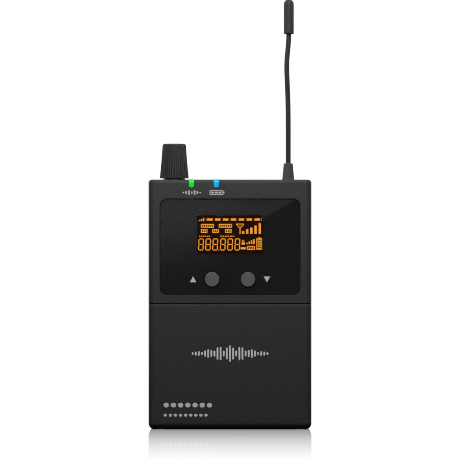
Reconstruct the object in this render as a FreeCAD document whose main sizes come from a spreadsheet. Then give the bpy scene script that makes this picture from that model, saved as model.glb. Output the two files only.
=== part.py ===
import FreeCAD, Part
import math
import os
import re

import Sketcher

# Body-pack wireless receiver, every separate piece as its own solid, in millimetres.
# The origin is the centre of the casing's bottom face. X runs across the casing, Y from the
# display face to the belt-clip face, and Z up to the antenna.

DIMENSIONS = [
    # casing
    ("case_width", 64.0, "casing, side to side"),
    ("case_depth", 24.0, "casing, front to back"),
    ("case_height", 98.2, "casing, bottom to top"),
    ("wall", 1.8, "moulded wall"),
    ("upright_radius", 2.1, "rounding of the four upright edges"),
    ("top_edge_radius", 1.2, "rounding of the front and back top edges"),
    ("bottom_edge_radius", 2.6, "rounding of the front and back bottom edges"),
    ("top_corner_radius", 1.3, "rounding of the top edges at the sides"),
    ("bottom_corner_radius", 2.4, "rounding of the bottom edges at the sides"),
    ("seam_y", -7.5, "plane where the front pieces meet the rear shell"),
    ("split_height", 49.45, "middle of the gap between cover and battery door"),
    ("split_gap", 0.25, "gap between cover and battery door"),
    ("door_gap", 0.15, "gap between battery door and rear shell"),
    ("door_round", 0.6, "rounding of the door's edges at the split"),
    ("cover_bevel", 0.1, "bevel on the cover's edges at the split"),
    ("lip_bevel", 0.15, "bevel round the window opening"),
    ("soft_edge", 0.15, "rounding of small visible edges"),
    ("cross_share", 0.62, "cross recess, as a share of the head radius"),
    ("seam_bevel", 0.15, "bevel on the edges at the seam"),
    ("lip", 1.2, "wall behind the split edges"),
    ("overrun", 1.0, "how far a cutting tool runs past the face that it opens"),
    ("hole_gap", 0.05, "clearance round a pin, shaft or screw"),
    # window
    ("window_half_width", 27.5, "lens, middle to side"),
    ("window_bottom", 52.8, "lens, bottom edge"),
    ("window_top", 90.55, "lens, top edge"),
    ("window_corner", 2.8, "lens corner radius"),
    ("window_gap", 0.1, "clearance round the lens"),
    ("lens_recess", 0.15, "lens face below the casing face"),
    ("lens_thickness", 1.2, "lens"),
    ("mask_thickness", 0.1, "black film with adhesive behind the lens"),
    ("ledge_thickness", 0.85, "cover wall that carries the lens"),
    ("ledge_margin", 1.15, "ledge beyond the window"),
    ("ledge_bite", 0.1, "how far the ledge reaches into the front wall"),
    # display
    ("display_half_width", 12.94, "visible display, middle to side"),
    ("display_bottom", 68.9, "visible display, bottom"),
    ("display_top", 84.2, "visible display, top"),
    ("display_margin", 0.5, "opening beyond the visible display"),
    ("glass_margin", 2.0, "display glass beyond the visible display"),
    ("glass_gap", 0.1, "air between ledge and display glass"),
    ("glass_thickness", 2.0, "display glass"),
    ("backlight_thickness", 1.2, "light guide behind the glass"),
    ("holder_wall", 1.2, "frame round the glass"),
    ("strip_height", 1.4, "elastomer strip below the light guide"),
    ("board_y", -5.2, "display board, front face"),
    ("board_thickness", 1.0, "display board"),
    ("board_half_width", 17.0, "display board, middle to side"),
    ("board_bottom", 53.5, "display board, bottom"),
    ("board_top", 94.4, "display board, top"),
    ("board_boss_x", 14.8, "display board screws from the middle"),
    ("board_boss_low", 57.0, "lower display board screws"),
    ("board_boss_high", 89.6, "upper display board screws"),
    ("board_boss_radius", 1.8, "display board boss"),
    ("small_screw_radius", 0.8, "board screw shank"),
    ("small_head_radius", 1.4, "board screw head"),
    ("small_head_height", 1.0, "board screw head"),
    ("small_screw_reach", 3.2, "board screw in its boss"),
    # buttons
    ("button_x", 7.06, "button centres from the middle"),
    ("button_height", 58.9, "button centres"),
    ("button_radius", 2.9, "button face"),
    ("button_hole_gap", 0.15, "clearance round a button"),
    ("button_proud", 0.2, "button face in front of the casing face"),
    ("button_round", 0.35, "rounding of the button face"),
    ("button_flange_radius", 3.7, "flange that holds a button in"),
    ("button_flange_back", 1.1, "flange, back face behind the ledge"),
    ("button_stem_radius", 1.2, "stem to the switch"),
    ("button_stem_end", -7.75, "stem, end face"),
    ("switch_half", 2.2, "switch, half its side"),
    ("switch_front", -6.9, "switch body, front face"),
    ("plunger_radius", 1.0, "switch plunger"),
    ("plunger_front", -7.2, "switch plunger, front face"),
    # light pipes
    ("audio_light_x", -15.15, "left light pipe"),
    ("battery_light_x", -5.38, "right light pipe"),
    ("light_half_width", 1.0, "light pipe, half its width"),
    ("light_bottom", 95.2, "light pipe, lowest point on the front"),
    ("light_proud", 0.2, "light pipe above the casing top"),
    ("light_front_proud", 0.05, "light pipe in front of the casing face"),
    ("light_back", -8.65, "light pipe, back end on the top"),
    ("light_leg_bottom", 91.9, "leg inside, lower end"),
    ("light_leg_back", -6.3, "leg inside, face towards the lamp"),
    ("lamp_half_width", 0.8, "lamp, half its width"),
    ("lamp_bottom", 92.1, "lamp, lower end"),
    ("lamp_height", 1.6, "lamp"),
    ("lamp_thickness", 1.0, "lamp in front of its board"),
    # volume control
    ("knob_x", -22.05, "knob axis"),
    ("knob_bottom", 98.86, "knob, lower end"),
    ("knob_top", 112.5, "knob, upper end"),
    ("knob_bottom_radius", 5.68, "knob at its foot"),
    ("knob_top_radius", 4.64, "knob at its head"),
    ("knob_waist_radius", 5.1, "knob half way up"),
    ("knob_round", 0.9, "rounding of the knob's top edge"),
    ("knob_skirt", 0.35, "straight foot of the knob"),
    ("knob_hollow_radius", 4.5, "recess under the knob"),
    ("knob_hollow_depth", 1.5, "recess under the knob"),
    ("flute_radius", 0.26, "groove between two ribs"),
    ("rib_count", 36, "ribs round the knob"),
    ("shaft_radius", 2.0, "control shaft"),
    ("shaft_bottom", 88.4, "control shaft, lower end"),
    ("shaft_top", 108.0, "control shaft, upper end"),
    ("pot_half", 4.75, "control body, half its side"),
    ("pot_bottom", 87.0, "control body, lower end"),
    ("pot_top", 95.0, "control body, upper end"),
    ("bushing_radius", 3.0, "threaded bushing through the casing"),
    ("collar_radius", 4.3, "collar nut under the knob"),
    ("collar_height", 0.56, "collar nut"),
    # headphone socket
    ("jack_x", 9.0, "headphone socket axis"),
    ("jack_radius", 1.8, "bore for a 3.5 mm plug"),
    ("jack_depth", 14.2, "bore below the casing top"),
    ("socket_half", 3.5, "socket body, half its side"),
    ("socket_floor", 1.6, "socket body under the bore"),
    ("nose_radius", 3.0, "socket nose"),
    ("ring_radius", 3.9, "ring nut round the nose"),
    # antenna
    ("antenna_x", 23.05, "antenna axis at the casing"),
    ("sleeve_bottom_radius", 2.385, "sleeve at the casing"),
    ("sleeve_top_radius", 1.77, "sleeve at its upper end"),
    ("sleeve_top", 104.76, "sleeve, upper end"),
    ("whip_radius", 0.97, "whip"),
    ("whip_bottom", 94.0, "whip, lower end in its socket"),
    ("tip_x", 23.28, "tip axis"),
    ("tip_bottom", 156.0, "tip, lower end"),
    ("tip_top", 169.65, "tip, upper end"),
    ("tip_radius", 1.965, "tip"),
    ("tip_foot_round", 0.25, "rounding of the tip's lower edge"),
    ("tip_bore_top", 161.6, "end of the whip inside the tip"),
    ("stub_radius", 1.9, "antenna socket through the casing"),
    ("stub_flange_radius", 3.0, "antenna socket under the casing top"),
    ("stub_flange_height", 1.2, "antenna socket flange"),
    ("stub_bottom", 92.0, "antenna socket, lower end"),
    ("strap_width", 2.4, "antenna strap"),
    ("strap_thickness", 0.3, "antenna strap"),
    # main board
    ("main_y", 6.4, "main board, front face"),
    ("main_thickness", 1.2, "main board"),
    ("main_half_width", 28.0, "main board, middle to side"),
    ("main_bottom", 3.0, "main board, bottom"),
    ("main_top", 95.4, "main board, top"),
    ("main_boss_radius", 2.2, "main board boss"),
    ("shield_left", -4.0, "radio shield, left side"),
    ("shield_right", 18.0, "radio shield, right side"),
    ("shield_bottom", 54.0, "radio shield, bottom"),
    ("shield_top", 80.0, "radio shield, top"),
    ("shield_height", 3.4, "radio shield above its board"),
    ("shield_sheet", 0.3, "radio shield sheet"),
    ("chip_height", 1.2, "chips above the board"),
    ("connector_x", -10.6, "board connector, middle"),
    ("connector_half_width", 6.0, "board connector, half its width"),
    ("connector_bottom", 60.0, "board connector, bottom"),
    ("connector_top", 63.0, "board connector, top"),
    ("connector_head", 2.4, "board connector housings"),
    ("pin_half", 0.32, "connector pin, half its side"),
    ("pin_pitch", 2.0, "connector pins"),
    # case screws
    ("case_screw_x", 27.2, "case screws from the middle"),
    ("case_screw_low", 53.6, "lower case screws"),
    ("case_screw_high", 82.0, "upper case screws"),
    ("case_screw_radius", 1.2, "case screw shank"),
    ("case_head_radius", 2.2, "case screw head"),
    ("case_head_height", 1.4, "case screw head"),
    ("case_head_depth", 1.7, "head recess below the back face"),
    ("case_tube_radius", 2.9, "screw tube in the rear shell"),
    ("case_boss_radius", 2.4, "screw boss in the cover"),
    ("case_boss_end", -2.0, "plane where tube and boss meet"),
    ("case_screw_tip", -8.0, "case screw, tip"),
    ("cross_width", 0.6, "cross recess of a screw head"),
    ("cross_depth", 0.7, "cross recess of a screw head"),
    # battery door and hinge
    ("hinge_y", -9.15, "door hinge axis"),
    ("hinge_z", 1.5, "door hinge axis, and radius of the door's rolled foot"),
    ("hinge_relief", 2.3, "room for the door's foot in the rear shell"),
    ("pin_radius", 0.8, "door hinge pin"),
    ("pin_inner", 23.5, "door hinge pin, inner end from the middle"),
    ("pin_outer", 30.4, "door hinge pin, outer end from the middle"),
    ("lug_inner", 26.2, "hinge lug, inner face"),
    ("lug_outer", 28.8, "hinge lug, outer face"),
    ("lug_radius", 1.25, "hinge lug round the pin"),
    ("lug_gap", 0.3, "gap between lug and door"),
    ("lug_front_gap", 0.25, "gap in front of the lug"),
    ("lug_under", 0.6, "lug neck below the axis"),
    ("ear_inner", 26.8, "door ear, inner face"),
    ("ear_outer", 27.6, "door ear, outer face"),
    ("ear_barb", 26.1, "door ear, barb face"),
    ("ear_end", -4.6, "door ear, rear end"),
    ("barb_length", 0.8, "door ear barb"),
    ("ear_half_height", 1.5, "door ear, half its height"),
    ("door_rib_height", 0.8, "stiffening ribs inside the door"),
    ("door_rib_pitch", 12.0, "height from one rib to the next"),
    # side latches
    ("latch_height", 38.7, "middle of the latches"),
    ("latch_y", -2.5, "middle of the latch buttons"),
    ("latch_half_length", 3.3, "latch button, half its length"),
    ("latch_half_height", 2.1, "latch button, half its height"),
    ("latch_round", 1.6, "latch button corners"),
    ("latch_gap", 0.15, "clearance round the latch button"),
    ("latch_face", 31.95, "latch button face from the middle"),
    ("latch_ridge", 32.1, "finger ridge from the middle"),
    ("ridge_half_height", 1.2, "finger ridge, half its height"),
    ("ridge_round", 1.08, "rounding of the finger ridge"),
    ("ridge_half_length", 2.4, "finger ridge, half its length"),
    ("flange_inner", 28.9, "latch flange, inner face"),
    ("flange_outer", 30.1, "latch flange, outer face"),
    ("flange_front", -6.2, "latch flange, front end"),
    ("flange_back", 1.8, "latch flange, rear end"),
    ("flange_half_height", 2.9, "latch flange, half its height"),
    ("hook_inner", 25.0, "latch hook, inner face"),
    ("hook_outer", 25.7, "latch hook, outer face"),
    ("hook_tooth", 26.0, "latch tooth face"),
    ("arm_front", -4.2, "latch arm, front face"),
    ("arm_back", -3.0, "latch arm, rear face"),
    ("tooth_length", 0.7, "latch tooth"),
    ("guide_y", 0.0, "latch spring axis"),
    ("guide_radius", 0.7, "latch spring guide"),
    ("guide_end", 27.2, "latch spring guide, end from the middle"),
    ("seat_inner", 22.6, "spring seat, inner face"),
    ("seat_outer", 23.8, "spring seat, outer face"),
    ("latch_coil_radius", 1.3, "latch spring, middle of its wire"),
    ("latch_wire", 0.25, "latch spring wire radius"),
    ("latch_turns", 4, "latch spring turns"),
    # battery tray
    ("bay_half_length", 28.0, "battery bay, middle to end"),
    ("bay_back", 5.0, "battery bay, rear face"),
    ("tray_wall", 1.0, "tray walls"),
    ("tray_panel", 1.2, "tray front panel and roof"),
    ("bay_roof", 33.4, "battery bay, top"),
    ("tray_floor_front", -5.6, "tray floor, front edge"),
    ("tray_top_gap", 0.1, "tray below the cover"),
    ("slot_gap", 0.3, "clearance round a door ear"),
    ("battery_radius", 7.25, "AA cell"),
    ("battery_length", 50.5, "AA cell with its stud"),
    ("battery_y", -2.45, "cell axes"),
    ("lower_battery_z", 10.5, "lower cell axis"),
    ("upper_battery_z", 25.5, "upper cell axis"),
    ("stud_radius", 2.75, "positive stud"),
    ("stud_height", 1.2, "positive stud"),
    ("battery_round", 0.8, "rounding of the cell's ends"),
    ("contact_thickness", 0.4, "contact plates"),
    ("contact_half_width", 4.2, "contact plates, half their width"),
    ("contact_half_height", 4.6, "contact plates, half their height"),
    ("coil_radius", 2.7, "battery spring, middle of its wire"),
    ("coil_wire", 0.4, "battery spring wire radius"),
    ("coil_turns", 3, "battery spring turns"),
    ("coil_gap", 0.05, "space left at a spring's ends"),
    # belt clip
    ("bracket_half_width", 13.0, "clip bracket, half its width"),
    ("bracket_bottom", 66.0, "clip bracket, bottom"),
    ("bracket_top", 86.0, "clip bracket, top"),
    ("bracket_thickness", 1.4, "clip bracket plate"),
    ("cheek_thickness", 1.8, "bracket cheeks"),
    ("clip_pin_y", 16.2, "clip pin axis"),
    ("clip_pin_z", 78.0, "clip pin axis"),
    ("clip_pin_radius", 1.0, "clip pin"),
    ("cheek_radius", 2.4, "cheek round the clip pin"),
    ("gusset_share", 1.8, "gusset, half its height as a share of the cheek radius"),
    ("clip_barrel_radius", 2.4, "clip barrel round its pin"),
    ("clip_side_gap", 0.3, "gap between clip and cheeks"),
    ("clip_spring_half", 4.0, "half the room for the spring"),
    ("clip_half_width", 9.0, "clip blade, half its width"),
    ("clip_front", 17.6, "clip blade, face towards the casing"),
    ("clip_thickness", 1.8, "clip blade"),
    ("clip_top", 93.0, "thumb plate, upper end"),
    ("clip_bottom", 22.0, "clip, lower end"),
    ("clip_lean", 2.2, "thumb plate leans out by"),
    ("clip_foot_gap", 1.2, "clip foot from the casing"),
    ("clip_foot_height", 3.0, "clip foot"),
    ("clip_round", 3.0, "corners of the clip blade"),
    ("clip_edge", 0.5, "rounding of the blade's long edges"),
    ("clip_bend_share", 1.6, "where the blade bends, as a share of the barrel radius or foot height"),
    ("clip_groove_radius", 0.45, "grip grooves in the thumb plate"),
    ("clip_groove_pitch", 1.8, "grip grooves in the thumb plate"),
    ("clip_groove_start", 1.4, "first grip groove below the top, in groove pitches"),
    ("clip_coil_radius", 1.45, "clip spring, middle of its wire"),
    ("clip_wire", 0.25, "clip spring wire radius"),
    ("clip_turns", 8, "clip spring turns"),
    ("clip_spring_gap", 0.3, "room between the clip spring and the blade"),
    ("clip_screw_x", 9.5, "clip screws from the middle"),
    ("clip_screw_z", 69.5, "clip screws"),
    ("clip_screw_radius", 1.0, "clip screw shank"),
    ("clip_head_radius", 1.9, "clip screw head"),
    ("clip_head_height", 0.8, "clip screw head"),
    ("clip_screw_tip", 8.8, "clip screw, tip"),
    ("clip_boss_radius", 2.2, "clip screw boss in the rear shell"),
    ("clip_boss_end", 8.2, "clip screw boss, inner end"),
]

doc = FreeCAD.newDocument("WirelessReceiver")
sheet = doc.addObject("Spreadsheet::Sheet", "Dimensions")
for row, (alias, number, meaning) in enumerate(DIMENSIONS, 1):
    sheet.set(f"A{row}", meaning)
    sheet.set(f"B{row}", str(number))
    sheet.setAlias(f"B{row}", alias)
doc.recompute()

ALIASES = {alias: number for alias, number, meaning in DIMENSIONS}
PIECES = []

# planes and positions that several pieces share
FRONT = "(-case_depth/2)"
BACK = "(case_depth/2)"
SIDE = "(case_width/2)"
INNER_FRONT = "(-case_depth/2 + wall)"
INNER_BACK = "(case_depth/2 - wall)"
INNER_SIDE = "(case_width/2 - wall)"
INNER_TOP = "(case_height - wall)"
COVER_BOTTOM = "(split_height + split_gap/2)"
DOOR_TOP = "(split_height - split_gap/2)"
DOOR_BACK = "(seam_y - door_gap)"
LENS_FRONT = "(-case_depth/2 + lens_recess)"
LENS_BACK = "(-case_depth/2 + lens_recess + lens_thickness)"
LEDGE_FRONT = "(-case_depth/2 + lens_recess + lens_thickness + mask_thickness)"
LEDGE_BACK = "(-case_depth/2 + lens_recess + lens_thickness + mask_thickness + ledge_thickness)"
GLASS_FRONT = f"({LEDGE_BACK} + glass_gap)"
GLASS_BACK = f"({LEDGE_BACK} + glass_gap + glass_thickness)"
GUIDE_BACK = f"({LEDGE_BACK} + glass_gap + glass_thickness + backlight_thickness)"
BOARD_BACK = "(board_y + board_thickness)"
MAIN_BACK = "(main_y + main_thickness)"
WIDE = ("-case_width", "case_width")
SIDES = (-1, 1)


def value(alias):
    """Number held in a cell of the sheet."""
    return float(sheet.get(alias))


def bound(text):
    """Expression that reads every alias from the sheet."""
    return re.sub(r"[A-Za-z_]+", lambda word: spelled(word.group()), str(text))


def spelled(word):
    """An alias with its sheet in front, or the word itself."""
    if word in ALIASES:
        return "Dimensions." + word
    return word


def beside(side, near, far):
    """X span between two distances from the middle, on one side."""
    if side > 0:
        return near, far
    return f"-({far})", f"-({near})"


def about(middle, half):
    """Span of a half size on both sides of a middle."""
    return f"({middle}) - ({half})", f"({middle}) + ({half})"


def finished(piece, label):
    """Marks an object as a sub-part, under the name of its file."""
    piece.Label = label
    PIECES.append(piece)
    return piece


def box(name, x, y, z, body=None, kind="Part::Box"):
    """Block between two expressions along each axis."""
    block = body.newObject(kind, name) if body else doc.addObject(kind, name)
    for size, axis, (low, high) in zip(("Length", "Width", "Height"), "xyz", (x, y, z)):
        block.setExpression(size, bound(f"({high}) - ({low})"))
        block.setExpression(f"Placement.Base.{axis}", bound(low))
    return block


TURNS = {
    "x": FreeCAD.Rotation(FreeCAD.Vector(0, 1, 0), 90),
    "y": FreeCAD.Rotation(FreeCAD.Vector(1, 0, 0), -90),
    "z": FreeCAD.Rotation(),
}


def laid(solid, axis, low, centre):
    """Turns a round solid along an axis and puts its lower end in place."""
    solid.Placement = FreeCAD.Placement(FreeCAD.Vector(), TURNS[axis])
    others = [other for other in "xyz" if other != axis]
    solid.setExpression(f"Placement.Base.{axis}", bound(low))
    for other, place in zip(others, centre):
        solid.setExpression(f"Placement.Base.{other}", bound(place))
    return solid


def rod(name, radius, axis, span, centre):
    """Cylinder along an axis; centre is its place on the other two axes, in order."""
    low, high = span
    solid = doc.addObject("Part::Cylinder", name)
    solid.setExpression("Radius", bound(radius))
    solid.setExpression("Height", bound(f"({high}) - ({low})"))
    return laid(solid, axis, low, centre)


def taper(name, low_radius, high_radius, axis, span, centre):
    """Cone along an axis, from its lower radius to its upper one."""
    low, high = span
    solid = doc.addObject("Part::Cone", name)
    solid.setExpression("Radius1", bound(low_radius))
    solid.setExpression("Radius2", bound(high_radius))
    solid.setExpression("Height", bound(f"({high}) - ({low})"))
    return laid(solid, axis, low, centre)


def joined(name, *solids):
    """One solid from several that touch."""
    whole = doc.addObject("Part::MultiFuse", name)
    whole.Shapes = list(solids)
    whole.Refine = True
    return whole


def less(name, base, *tools):
    """The base without the tools."""
    cut = doc.addObject("Part::Cut", name)
    cut.Base = base
    cut.Tool = tools[0] if len(tools) == 1 else joined(name + "_tools", *tools)
    cut.Refine = True
    return cut


def common(name, *solids):
    """What several solids share."""
    shared = doc.addObject("Part::MultiCommon", name)
    shared.Shapes = list(solids)
    return shared


def group(name, solids):
    """Identical separate solids under one name."""
    together = doc.addObject("Part::Compound", name)
    together.Links = list(solids)
    return together


def edged(kind, name, base, size, chosen):
    """Fillet or chamfer of one size on the edges that the test picks."""
    doc.recompute()
    eased = doc.addObject(kind, name)
    eased.Base = base
    numbered = enumerate(base.Shape.Edges, 1)
    eased.Edges = [(number, size, size) for number, edge in numbered if chosen(edge)]
    return eased


def rounded(name, base, size, chosen):
    return edged("Part::Fillet", name, base, size, chosen)


def bevelled(name, base, size, chosen):
    return edged("Part::Chamfer", name, base, size, chosen)


def flat_at(edge, axis, place):
    """Whether an edge lies in the plane at a place on an axis."""
    limits = edge.BoundBox
    low = getattr(limits, axis.upper() + "Min")
    high = getattr(limits, axis.upper() + "Max")
    return abs(low - place) < 0.001 and abs(high - place) < 0.001


def runs_along(edge, axis):
    """Whether a straight edge runs along an axis."""
    limits = edge.BoundBox
    across = [getattr(limits, other + "Length") for other in "XYZ" if other != axis.upper()]
    return max(across) < 0.001


def plane_of(body, role):
    """Origin plane or axis of a body, by its role."""
    return [feature for feature in body.Origin.OriginFeatures if feature.Role == role][0]


def outline(body, name, role, points, offset=None):
    """Closed sketch of straight lines; each point is a pair of expressions."""
    sketch = body.newObject("Sketcher::SketchObject", name)
    sketch.AttachmentSupport = [(plane_of(body, role), "")]
    sketch.MapMode = "FlatFace"
    if offset:
        sketch.setExpression("AttachmentOffset.Base.z", bound(offset))
    places = [tuple(reckoned(part) for part in point) for point in points]
    for start, end in zip(places, places[1:] + places[:1]):
        first = FreeCAD.Vector(*start, 0)
        sketch.addGeometry(Part.LineSegment(first, FreeCAD.Vector(*end, 0)), False)
    for number in range(len(points)):
        before = (number - 1) % len(points)
        sketch.addConstraint(Sketcher.Constraint("Coincident", before, 2, number, 1))
        held(sketch, number, points[number], places[number])
    return sketch


def held(sketch, line, expressions, place):
    """Ties the start of a sketch line to two expressions, or to an axis where one is zero."""
    for kind, axis, text, number in zip(("DistanceX", "DistanceY"), (-2, -1), expressions, place):
        if text == "0":
            sketch.addConstraint(Sketcher.Constraint("PointOnObject", line, 1, axis))
            continue
        tie = sketch.addConstraint(Sketcher.Constraint(kind, -1, 1, line, 1, number))
        sketch.setExpression(f"Constraints[{tie}]", bound(text))


def reckoned(text):
    """Number that an expression of aliases stands for."""
    return float(sheet.evalExpression(bound(text).replace("Dimensions.", "")))


def turned(name, points, centre=None, axis="z"):
    """Body revolved from a half outline of (radius, place along the axis) pairs."""
    body = doc.addObject("PartDesign::Body", name)
    sketch = outline(body, name + "_outline", "XZ_Plane", points)
    revolution = body.newObject("PartDesign::Revolution", name + "_turned")
    revolution.Profile = sketch
    revolution.ReferenceAxis = (sketch, ["V_Axis"])
    revolution.Angle = 360
    if axis != "z":
        body.Placement = FreeCAD.Placement(FreeCAD.Vector(), TURNS[axis])
    if centre:
        others = [other for other in "xyz" if other != axis]
        for other, place in zip(others, centre):
            body.setExpression(f"Placement.Base.{other}", bound(place))
    return body


def eased_body(body, name, radius, chosen):
    """Fillet at a body's tip, on the edges that the test picks."""
    doc.recompute()
    tip = body.Tip
    fillet = body.newObject("PartDesign::Fillet", name)
    edges = [f"Edge{n}" for n, edge in enumerate(tip.Shape.Edges, 1) if chosen(edge)]
    fillet.Base = (tip, edges)
    fillet.setExpression("Radius", bound(radius))
    body.Tip = fillet
    return fillet


def coil(name, radius, wire, turns, span, axis, centre):
    """Round-wire spring of whole turns; span is the room between the faces that it presses on."""
    low, high = span
    start = f"({low}) + ({wire}) + coil_gap"
    height = f"(({high}) - ({low}) - 2*({wire}) - 2*coil_gap)"
    helix = doc.addObject("Part::Helix", name + "_path")
    helix.setExpression("Radius", bound(radius))
    helix.setExpression("Pitch", bound(f"{height}/({turns})"))
    helix.setExpression("Height", bound(height))
    section = doc.addObject("Part::Circle", name + "_wire")
    section.setExpression("Radius", bound(wire))
    section.Placement = FreeCAD.Placement(FreeCAD.Vector(), FreeCAD.Rotation(FreeCAD.Vector(1, 0, 0), 90))
    section.setExpression("Placement.Base.x", bound(radius))
    spring = doc.addObject("Part::Sweep", name)
    spring.Sections = [section]
    spring.Spine = (helix, ["Edge1"])
    spring.Solid = True
    spring.Frenet = True
    return laid(spring, axis, start, centre)


def screw(name, place, shank, head, recess, shank_radius, head_radius):
    """Screw along Y at an (x, z) place, with a cross recess in its head."""
    x, z = place
    body = joined(
        name + "_blank",
        rod(name + "_shank", shank_radius, "y", shank, place),
        rod(name + "_head", head_radius, "y", head, place),
    )
    reach = f"({head_radius})*cross_share"
    cross = (
        box(name + "_cross_bar", about(x, reach), recess, about(z, "cross_width/2")),
        box(name + "_cross_post", about(x, "cross_width/2"), recess, about(z, reach)),
    )
    return less(name, body, *cross)


def case_block():
    """Outer shape of the whole casing, as one rounded block."""
    block = box("case_blank", about(0, SIDE), about(0, BACK), ("0", "case_height"))
    doc.recompute()
    top = value("case_height")
    radii = []
    for number, edge in enumerate(block.Shape.Edges, 1):
        high = flat_at(edge, "z", top)
        if runs_along(edge, "z"):
            radius = value("upright_radius")
        elif runs_along(edge, "x"):
            radius = value("top_edge_radius" if high else "bottom_edge_radius")
        else:
            radius = value("top_corner_radius" if high else "bottom_corner_radius")
        radii.append((number, radius, radius))
    rounded_block = doc.addObject("Part::Fillet", "case_block")
    rounded_block.Base = block
    rounded_block.Edges = radii
    return rounded_block


def window_tool(name, gap, depth):
    """Rounded rectangle of the window, larger all round by a gap."""
    across = about(0, f"window_half_width + {gap}")
    upright = (f"window_bottom - {gap}", f"window_top + {gap}")
    block = box(name + "_blank", across, depth, upright)
    corner = value("window_corner")
    if gap != "0":
        corner += value(gap)
    return rounded(name, block, corner, lambda edge: runs_along(edge, "y"))


def button_places():
    """Centres of the two buttons."""
    return [("-button_x", "button_height"), ("button_x", "button_height")]


def case_screw_places():
    """Centres of the four case screws."""
    return [(f"{side}*case_screw_x", z) for side in SIDES for z in ("case_screw_low", "case_screw_high")]


def board_screw_places():
    """Centres of the four display board screws."""
    return [(f"{side}*board_boss_x", z) for side in SIDES for z in ("board_boss_low", "board_boss_high")]


# Main board screws: x, z
MAIN_SCREW_PLACES = [("-17", "58.5"), ("22.5", "58.5"), ("-13", "91.5"), ("17", "91.5")]

# Chips on the back of the main board: middle x, middle z, half width, half height
CHIP_PLACES = [
    (-16, 78, 5, 5), (4, 84, 3.5, 2.5), (18, 66, 3, 4), (-8, 40, 4.5, 3), (12, 38, 3, 3), (0, 20, 6, 2.5),
]


def clip_screw_places():
    """Centres of the two belt clip screws."""
    return [(f"{side}*clip_screw_x", "clip_screw_z") for side in SIDES]


def light_pipe_slot(name, x):
    """Opening for one light pipe in the front and top walls of the cover."""
    half = "light_half_width + hole_gap"
    centre = "light_bottom + light_half_width"
    depth = (f"{FRONT} - overrun", "light_back + hole_gap")
    return joined(
        name,
        box(name + "_upper", about(x, half), depth, (centre, "case_height + overrun")),
        rod(name + "_lower", half, "y", (f"{FRONT} - overrun", f"{INNER_FRONT} + overrun"), (x, centre)),
    )


def front_cover(case):
    """Upper front shell: window ledge, button holes, light pipe slots and screw bosses."""
    slab = box("cover_slab", WIDE, ("-case_depth", "seam_y"), (COVER_BOTTOM, "2*case_height"))
    blank = common("cover_blank", case, slab)
    split = value("split_height") + value("split_gap") / 2
    seam = value("seam_y")
    eased = bevelled(
        "cover_eased", blank, value("cover_bevel"),
        lambda edge: flat_at(edge, "z", split) and not flat_at(edge, "y", seam),
    )
    hollow = box(
        "cover_hollow", about(0, INNER_SIDE), (INNER_FRONT, "seam_y + overrun"),
        (f"{COVER_BOTTOM} + lip", INNER_TOP),
    )
    shell = less("cover_shell", eased, hollow)
    ledge = box(
        "cover_ledge", about(0, "window_half_width + ledge_margin"), (f"{INNER_FRONT} - ledge_bite", LEDGE_BACK),
        ("window_bottom - ledge_margin", "window_top + ledge_margin"),
    )
    solids = [shell, ledge]
    holes = [window_tool("cover_window", "window_gap", (f"{FRONT} - overrun", LEDGE_FRONT))]
    for number, place in enumerate(case_screw_places(), 1):
        solids.append(rod(f"case_boss_{number}", "case_boss_radius", "y", (LEDGE_FRONT, "case_boss_end"), place))
        span = ("case_screw_tip - hole_gap", "case_boss_end + overrun")
        holes.append(rod(f"case_pilot_{number}", "case_screw_radius + hole_gap", "y", span, place))
    for number, place in enumerate(board_screw_places(), 1):
        solids.append(rod(f"board_boss_{number}", "board_boss_radius", "y", (LEDGE_FRONT, "board_y"), place))
        span = ("board_y - small_screw_reach - hole_gap", "board_y + overrun")
        holes.append(rod(f"board_pilot_{number}", "small_screw_radius + hole_gap", "y", span, place))
    for number, place in enumerate(button_places(), 1):
        span = (f"{FRONT} - overrun", f"{LEDGE_BACK} + overrun")
        holes.append(rod(f"button_hole_{number}", "button_radius + button_hole_gap", "y", span, place))
    holes.append(box(
        "display_opening", about(0, "display_half_width + display_margin"),
        (f"{FRONT} - overrun", f"{LEDGE_BACK} + overrun"),
        ("display_bottom - display_margin", "display_top + display_margin"),
    ))
    holes.append(light_pipe_slot("audio_slot", "audio_light_x"))
    holes.append(light_pipe_slot("battery_slot", "battery_light_x"))
    open_cover = less("cover_opened", joined("cover_with_bosses", *solids), *holes)
    face = value("case_depth") / -2
    width = value("window_half_width") + 2 * value("window_gap")
    floor = value("window_bottom") - 2 * value("window_gap")
    ceiling = value("window_top") + 2 * value("window_gap")

    def round_window(edge):
        """Edges of the window opening in the front face."""
        limits = edge.BoundBox
        inside = limits.XMin > -width and limits.XMax < width and limits.ZMin > floor and limits.ZMax < ceiling
        return flat_at(edge, "y", face) and inside

    return finished(bevelled("front_cover_solid", open_cover, value("lip_bevel"), round_window), "front_cover")


def latch_slot(side):
    """Opening for one latch button in the side wall."""
    name = "left_latch_slot" if side < 0 else "right_latch_slot"
    block = box(
        name + "_blank", beside(side, f"{INNER_SIDE} - overrun", f"{SIDE} + overrun"),
        about("latch_y", "latch_half_length + latch_gap"),
        about("latch_height", "latch_half_height + latch_gap"),
    )
    corner = value("latch_round") + value("latch_gap")
    return rounded(name, block, corner, lambda edge: runs_along(edge, "x"))


def hinge_lug(side):
    """Lug of the rear shell that holds one door hinge pin."""
    name = "left_lug" if side < 0 else "right_lug"
    span = beside(side, "lug_inner", "lug_outer")
    neck = box(
        name + "_neck", span, ("hinge_y", "seam_y + wall"),
        ("hinge_z - lug_under", "hinge_z + lug_radius"),
    )
    return joined(name, neck, rod(name + "_eye", "lug_radius", "x", span, ("hinge_y", "hinge_z")))


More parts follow.
